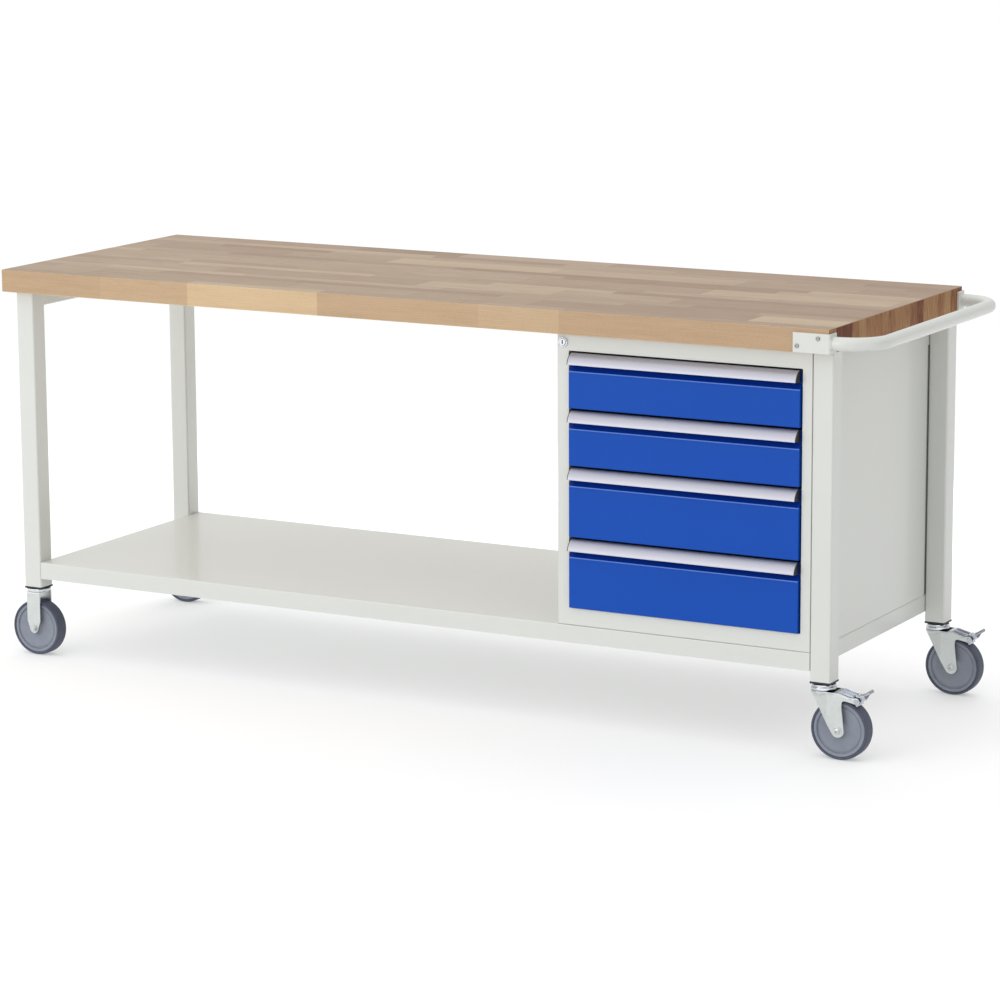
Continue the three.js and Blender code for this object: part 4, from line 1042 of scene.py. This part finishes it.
def swivelForkMesh(pivot, axle, crownTop, pin):
    f, s = forkLook, swivelLook
    out = f["inside"] + f["sheet"]
    px, py = pivot
    pinX, pinZ = pin
    backX = axle.x + s["eye"] - s["backLean"]
    throatZ = pinZ - s["throatDrop"]
    roofX = px + s["roofX"]
    skin = 0.0016
    cheek = roundedLoop([
        (px - s["nose"], crownTop - skin), (px - s["nose"] + 0.0008, crownTop - 0.0060, 0.003),
        *arcRun(axle.x, axle.z, s["eye"], 213, 360, 24),
        (backX, pinZ - s["backDrop"], 0.010), (backX + 0.0010, throatZ - 0.0010, 0.0075),
        (roofX + s["throatX"], throatZ, 0.010), *arcRun(pinX, pinZ, s["armEye"], -110, 90, 16),
        (roofX + s["bendX"], pinZ + s["bendRise"] - skin, 0.006),
        (roofX + s["knee"], pinZ + s["kneeRise"] - skin, 0.008),
        (roofX, crownTop - skin, 0.008),
    ], 6)
    holes = [circleLoop(axle.x, axle.z, 0.0053, 24), circleLoop(pinX, pinZ, 0.0034, 20)]
    lead = s["foldX"] + s["nose"]
    pieces = []
    for side in (-1, 1):
        y0, y1 = sorted((py + side * f["inside"], py + side * out))
        plate = pressedPlate([cheek, *holes], "y", y0, y1, 0.0008, 2)
        plate = slicedAlongX(plate, px - 0.022, px + s["foldX"], 12)
        pieces.append(bentIn(plate, Vector((px, py, 0)), px + s["foldX"], lead, s["curl"]))
    # one roof over both cheeks, level from the bearing and then falling with the arms
    line = [(px + 0.010, crownTop), (roofX, crownTop, 0.012), (roofX + s["knee"], pinZ + s["kneeRise"],
                                                               0.010),
            (px + s["roofEnd"], pinZ + s["endRise"])]
    under = [(x, z - f["sheet"], *more) for x, z, *more in reversed(line)]
    pieces.append(pressedPlate([roundedLoop(line + under, 6)], "y", py - out, py + out, 0.0014, 3))
    # crown under the bearing: a disc run out to the bent cheeks
    front = []
    for i in range(13):
        x = s["foldX"] - lead * i / 12
        front.append((px + x, py - out + s["curl"] * max(0.0, s["foldX"] - x) / lead))
    crown = [(px + 0.0300, py - out), *front, *[(x, 2 * py - y) for x, y in reversed(front)],
             (px + 0.0300, py + out)]
    pieces.append(pressedPlate([crown], "z", crownTop - 0.0045, crownTop, 0.0012, 3))
    disc = [(0.0085, crownTop), (s["disc"] - 0.0012, crownTop), (s["disc"], crownTop - 0.0012),
            (s["disc"], crownTop - 0.0040),
            (s["disc"] - 0.0016, crownTop - 0.0060), (0.0205, crownTop - 0.0072),
            (0.0195, crownTop - 0.0100), (0.0085, crownTop - 0.0100)]
    pieces.append(turnedPiece(disc, "z", (px, py, 0), 48))
    return joinMeshes(*pieces)


springLook = {"half": 0.0175, "sheet": 0.0014, "start": 0.0385, "ribHalf": 0.0030, "ribRise": 0.0012}


def springPlateMesh(pivot, crownTop, pin):
    # bright brake spring lying on the roof of the fork, with two pressed ribs
    s, look = swivelLook, springLook
    px, py = pivot
    roofX = px + s["roofX"]
    line = [(px + look["start"], crownTop), (roofX, crownTop, 0.012),
            (roofX + s["knee"], pin[1] + s["kneeRise"], 0.010),
            (px + s["roofEnd"] + 0.002, pin[1] + s["endRise"])]

    def layer(low, high, half, middle, edge):
        top = [(x, z + high, *more) for x, z, *more in line]
        below = [(x, z + low, *more) for x, z, *more in reversed(line)]
        return pressedPlate([roundedLoop(top + below, 6)], "y", py + middle - half, py + middle + half,
                            edge, 2)
    plate = layer(0.0001, 0.0001 + look["sheet"], look["half"], 0.0, 0.0005)
    line = [(x + (0.004 if i == 0 else 0.0), z, *more) for i, (x, z, *more) in enumerate(line)]
    line[-1] = (line[-1][0] - 0.004, line[-1][1] + 0.0008)
    ribs = [layer(look["sheet"] - 0.0002, look["sheet"] + look["ribRise"], look["ribHalf"], middle, 0.0010)
            for middle in (-0.0095, 0.0095)]
    return joinMeshes(plate, *ribs)


def bearingMesh(centre, low, high):
    # two pressed rings with a groove between them, a round stem above and the rivet below
    x, y = centre
    mid = (low + high) / 2
    lower = [(0.0090, low), (0.0238, low), (0.0256, low + 0.0008), (0.0265, low + 0.0026),
             (0.0265, mid - 0.0020),
             (0.0256, mid - 0.0006), (0.0236, mid), (0.0225, mid + 0.0002), (0.0222, mid + 0.0008),
             (0.0232, mid + 0.0014),
             (0.0245, mid + 0.0024), (0.0248, high - 0.0028), (0.0240, high - 0.0014),
             (0.0215, high - 0.0006),
             (0.0150, high), (0.0060, high), (0.0060, high + 0.034), (0.0, high + 0.034), (0.0, low - 0.0148),
             (0.0100, low - 0.0148), (0.0122, low - 0.0128), (0.0122, low - 0.0109), (0.0078, low - 0.0109),
             (0.0078, low)]
    return turnedPiece(lower, "z", (x, y, 0), 56)


pedalLook = {"width": 0.028, "padHalf": 0.0105, "sheet": 0.0026, "pin": 0.003, "rise": 30, "travel": 20,
             "shoeHalf": 0.003, "shoeGap": 0.0006, "boss": 0.0068, "pinHead": 0.0046, "pinProud": 0.0014}


def pedalMeshes(pin, wheel, py):
    # stamped rocker between the cheeks with its shoe towards the tyre, and a moulded pad on the lever
    p = pedalLook
    half = p["width"] / 2
    pinX, pinZ = pin
    place = Vector(pin)
    pressed = Vector((wheel.x - pinX, wheel.z - pinZ))
    reach = pressed.length - wheelParts["tyre"] - p["shoeGap"]
    released = Matrix.Rotation(math.radians(p["travel"]), 2) @ pressed.normalized()
    across = Vector((-released.y, released.x))
    tip = place + released * reach
    side = across * p["shoeHalf"]
    shoe = roundedLoop([tuple(place - side), (*(tip - side), 0.0028), (*(tip + side), 0.0028),
                        tuple(place + side)], 5)
    way = Vector((math.cos(math.radians(p["rise"])), math.sin(math.radians(p["rise"]))))
    up = Vector((-way.y, way.x))

    def along(a, b):
        return place + way * a + up * b
    lever = [along(-0.0040, 0.0072), along(0.0050, 0.0076), along(0.0110, 0.0052), along(0.0170, 0.0040),
             along(0.0295, 0.0046)]
    lever += [point - up * p["sheet"] for point in reversed(lever)]
    leverLoop = roundedLoop([(q.x, q.y, 0.0008 if 0 < i < 4 or 5 < i < 9 else 0.0) for i,
                             q in enumerate(lever)], 3)
    body = pressedPlate([leverLoop], "y", py - half + 0.002, py + half - 0.002, 0.0006, 2)
    shoePlate = pressedPlate([shoe], "y", py - half, py + half, 0.0006, 2)
    r, rim = p["boss"], 0.001
    boss = turnedPiece([(0.0, py - half + rim), (r - 0.0005, py - half + rim), (r, py - half + 2 * rim),
                        (r, py + half - 2 * rim),
                        (r - 0.0005, py + half - rim), (0.0, py + half - rim)], "y", (pinX, 0, pinZ), 32)
    end, head = forkLook["inside"] + forkLook["sheet"] + p["pinProud"], p["pinHead"]
    cap = [(0.0, end), (head - 0.0005, end), (head, end - 0.0006), (head, end - 0.0012),
           (p["pin"], end - 0.0013)]
    pinProfile = [(radius, py - reachOut) for radius, reachOut in cap] + [(radius, py + reachOut)
            for radius, reachOut in reversed(cap)]
    pinRod = turnedPiece(pinProfile, "y", (pinX, 0, pinZ), 28)
    ears = []
    earLoop = roundedLoop([(*along(-0.0065, -0.0052), 0.003), (*along(0.0085, -0.0050), 0.004),
                           (*along(0.0200, 0.0022), 0.001),
                           (*along(0.0060, 0.0072), 0.002), (*along(-0.0060, 0.0068), 0.003)], 5)
    for turn in (-1, 1):
        y0, y1 = sorted((py + turn * (half - 0.0006), py + turn * (half + 0.0014)))
        ears.append(pressedPlate([earLoop], "y", y0, y1, 0.0005, 2))
    screw = turnedPiece([(0.0, 0.0105), (0.0030, 0.0103), (0.0037, 0.0088), (0.0037, 0.0070),
                         (0.0, 0.0070)], "z", (0, 0, 0), 24)
    screws = []
    for turn in (-1, 1):
        tilt = Matrix.Rotation(-math.radians(p["rise"]), 4, "Y")
        screws.append(moved(screw, Matrix.Translation((pinX, py + turn * 0.0065, pinZ)) @ tilt))
    padLoop = roundedLoop([(*along(a, b), 0.0016) for a, b in ((0.0135, 0.0062), (0.0295, 0.0074),
                                                               (0.0312, 0.0048), (0.0290, 0.0008),
                                                               (0.0150, 0.0002))], 4)
    padMesh = pressedPlate([padLoop], "y", py - p["padHalf"], py + p["padHalf"], 0.0014, 3)
    return joinMeshes(body, shoePlate, boss, pinRod, *ears, *screws), padMesh


collarLook = {"wide": 0.0272, "narrow": 0.0250, "upper": 0.0036, "lower": 0.0068, "stem": 0.006,
              "stemRise": 0.034, "nut": 0.0098}
seatGap = 0.0003

for cad in ("front_left", "rear_left"):
    corner = cad.title().replace("_", "")
    axle = addWheel(corner, cad)
    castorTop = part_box("leg_plug_" + cad)[0].z - seatGap
    c = collarLook
    wide, narrow = c["wide"], c["narrow"]
    addPiece("fixedFork" + corner, fixedForkMesh(axle, castorTop - c["lower"] + seatGap), zincPlate,
             "bench", ["fixed_fork_" + cad], 40)
    collar = [(0.0, castorTop - c["lower"]), (narrow - 0.001, castorTop - c["lower"]),
              (narrow, castorTop - c["lower"] + 0.001),
              (narrow, castorTop - c["upper"] - 0.0006), (narrow + 0.0010, castorTop - c["upper"]),
              (wide - 0.0004, castorTop - c["upper"]),
              (wide, castorTop - c["upper"] + 0.0006), (wide, castorTop - 0.0010),
              (wide - 0.001, castorTop), (c["stem"], castorTop),
              (c["stem"], castorTop + c["stemRise"]), (0.0, castorTop + c["stemRise"])]
    nut = [(axle.x + x, axle.y + y) for x, y in arcRun(0, 0, c["nut"], 0, 300, 5)]
    nutTop = castorTop - c["lower"] - forkLook["sheet"] + 0.0004
    under = pressedPlate([nut], "z", nutTop - 0.006, nutTop, 0.0005, 2)
    addPiece("forkCollar" + corner, joinMeshes(turnedPiece(collar, "z", (axle.x, axle.y, 0), 48), under),
             chromePlate, "bench")
    addPiece("axle" + corner, axleBolt(axle, forkLook["inside"] + forkLook["sheet"], False), zincPlate,
             "bench", ["axle_" + cad])

for cad in ("front_right", "rear_right"):
    corner = cad.title().replace("_", "")
    axle = addWheel(corner, cad)
    headLow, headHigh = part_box("swivel_head_" + cad)
    pivot = ((headLow.x + headHigh.x) / 2, (headLow.y + headHigh.y) / 2)
    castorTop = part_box("leg_plug_" + cad)[0].z - seatGap
    crownTop = castorTop - swivelLook["crownDrop"]
    pin = (pivot[0] + swivelLook["pinAhead"], castorTop + seatGap - swivelLook["pinDrop"])
    castor, pedal = "castor_" + cad, "pedal_" + cad
    addPiece("bearing" + corner, bearingMesh(pivot, crownTop + swivelLook["bearingGap"], castorTop),
             chromePlate, "bench", ["swivel_head_" + cad], 30)
    addPiece("swivelFork" + corner, swivelForkMesh(pivot, axle, crownTop, pin), zincPlate, castor,
             ["swivel_fork_" + cad], 14)
    addPiece("brakeSpring" + corner, springPlateMesh(pivot, crownTop, pin), springSteel, castor)
    addPiece("axle" + corner, axleBolt(axle, forkLook["inside"] + forkLook["sheet"], True), zincPlate,
             castor, ["axle_" + cad])
    rocker, pad = pedalMeshes(pin, axle, pivot[1])
    addPiece("brakeRocker" + corner, rocker, springSteel, pedal, ["brake_pedal_" + cad], 36)
    addPiece("brakePad" + corner, pad, padPlastic, pedal)
print("castors done")


# ---- floor, light and camera

floorLook = {"size": 250.0, "dark": (0.60, 0.60, 0.60), "light": (0.62, 0.62, 0.62), "cloudScale": 0.8,
             "rough": 0.9, "gloss": 0.1, "glow": 0.32}
bm = bmesh.new()
bmesh.ops.create_grid(bm, x_segments=1, y_segments=1, size=floorLook["size"])
floorMesh = bpy.data.meshes.new("floor")
bm.to_mesh(floorMesh)
bm.free()
floor = bpy.data.objects.new("studioFloor", floorMesh)
floorFinish, floorTree, floorShader = freshFinish("paleFloor")
floorCloud = noiseAt(floorTree, objectPlace(floorTree), floorLook["cloudScale"], 2)
floorShade = mixColours(floorTree, floorCloud, floorLook["dark"], floorLook["light"])
floorTree.links.new(floorShade, floorShader.inputs["Base Color"])
floorShader.inputs["Roughness"].default_value = floorLook["rough"]
floorShader.inputs["Specular IOR Level"].default_value = floorLook["gloss"]
floorShader.inputs["Emission Color"].default_value = (1, 1, 1, 1)
floorShader.inputs["Emission Strength"].default_value = floorLook["glow"]
floorMesh.materials.append(floorFinish)
scene.collection.objects.link(floor)

lightLook = {
    "even": 0.94, "fromAbove": 0.42, "fromRight": -0.20, "fromBack": -0.25, "least": 0.12,
    "screens": [((0.55, -0.83, 0.12), (0.90, 0.985), 0.12), ((0.95, 0.30, 0.10), (0.86, 0.97), 0.15),
                ((-0.95, -0.30, 0.55), (0.93, 0.99), 0.35)],
}
world = bpy.data.worlds.new("studio")
world.use_nodes = True
skyTree = world.node_tree
way = addNode(skyTree, "SeparateXYZ", None, Vector=addNode(skyTree, "TexCoord").outputs["Generated"]).outputs
sky = calc(skyTree, "MULTIPLY_ADD", way[2], lightLook["fromAbove"], lightLook["even"])
sky = calc(skyTree, "MULTIPLY_ADD", way[0], lightLook["fromRight"], sky)
sky = calc(skyTree, "MULTIPLY_ADD", way[1], lightLook["fromBack"], sky)
sky = calc(skyTree, "MAXIMUM", sky, lightLook["least"])
# soft dark screens beside the bench, so that bright metal has something to reflect
for aim, spread, depth in lightLook["screens"]:
    towards = addNode(skyTree, "VectorMath", {"operation": "DOT_PRODUCT"},
                      s0=addNode(skyTree, "TexCoord").outputs["Generated"],
                      s1=Vector(aim).normalized()).outputs["Value"]
    sky = calc(skyTree, "MULTIPLY", sky, remap(skyTree, towards, *spread, 1.0, depth))
skyTree.nodes["Background"].inputs["Color"].default_value = (1, 1, 1, 1)
skyTree.links.new(sky, skyTree.nodes["Background"].inputs["Strength"])
scene.world = world


def addSoftbox(name, place, aim, width, height, power, tint=(1, 1, 1), mirrored=True):
    lamp = bpy.data.lights.new(name, "AREA")
    lamp.shape, lamp.size, lamp.size_y = "RECTANGLE", width, height
    lamp.energy, lamp.color = power, tint
    box = bpy.data.objects.new(name, lamp)
    box.location = place
    box.rotation_mode = "QUATERNION"
    box.rotation_quaternion = (Vector(aim) - Vector(place)).to_track_quat("-Z", "Y")
    box.visible_camera = False
    box.visible_glossy = mirrored
    scene.collection.objects.link(box)


coolTint = (0.92, 0.97, 1.0)
addSoftbox("frontBox", (-1.8, -5.2, 1.7), (0, 0, 0.5), 3.0, 2.0, 47)
addSoftbox("shelfBox", (-4.0, -1.0, 0.80), (-0.35, 0.05, 0.22), 1.4, 0.9, 16, coolTint, mirrored=False)
addSoftbox("backBox", (-0.6, 2.5, 0.62), (-0.45, 0.0, 0.25), 2.4, 0.36, 32, coolTint, mirrored=False)
addSoftbox("rightBox", (4.6, -2.6, 1.1), (1.0, 0.25, 0.5), 1.4, 1.4, 7)

cameraLook = {"place": (3.8866, -7.0246, 1.9767), "yaw": -28.796, "pitch": -11.174, "roll": -0.317,
              "lens": 134.34, "sensor": 36, "near": 0.1, "far": 600}
cameraData = bpy.data.cameras.new("camera")
cameraData.lens, cameraData.sensor_width = cameraLook["lens"], cameraLook["sensor"]
cameraData.clip_start, cameraData.clip_end = cameraLook["near"], cameraLook["far"]
camera = bpy.data.objects.new("camera", cameraData)
yaw, pitch, roll = (math.radians(cameraLook[key]) for key in ("yaw", "pitch", "roll"))
ahead = Vector((math.sin(yaw) * math.cos(pitch), math.cos(yaw) * math.cos(pitch), math.sin(pitch)))
right = ahead.cross(Vector((0, 0, 1))).normalized()
upward = right.cross(ahead)
tilted = math.cos(roll) * right + math.sin(roll) * upward
upward = math.cos(roll) * upward - math.sin(roll) * right
turn = Matrix((tilted, upward, -ahead)).transposed().to_4x4()
camera.matrix_world = Matrix.Translation(cameraLook["place"]) @ turn
scene.collection.objects.link(camera)
scene.camera = camera
scene.view_settings.view_transform = "Standard"
scene.view_settings.look = "None"
scene.view_settings.exposure = 0.0

print("scene done")
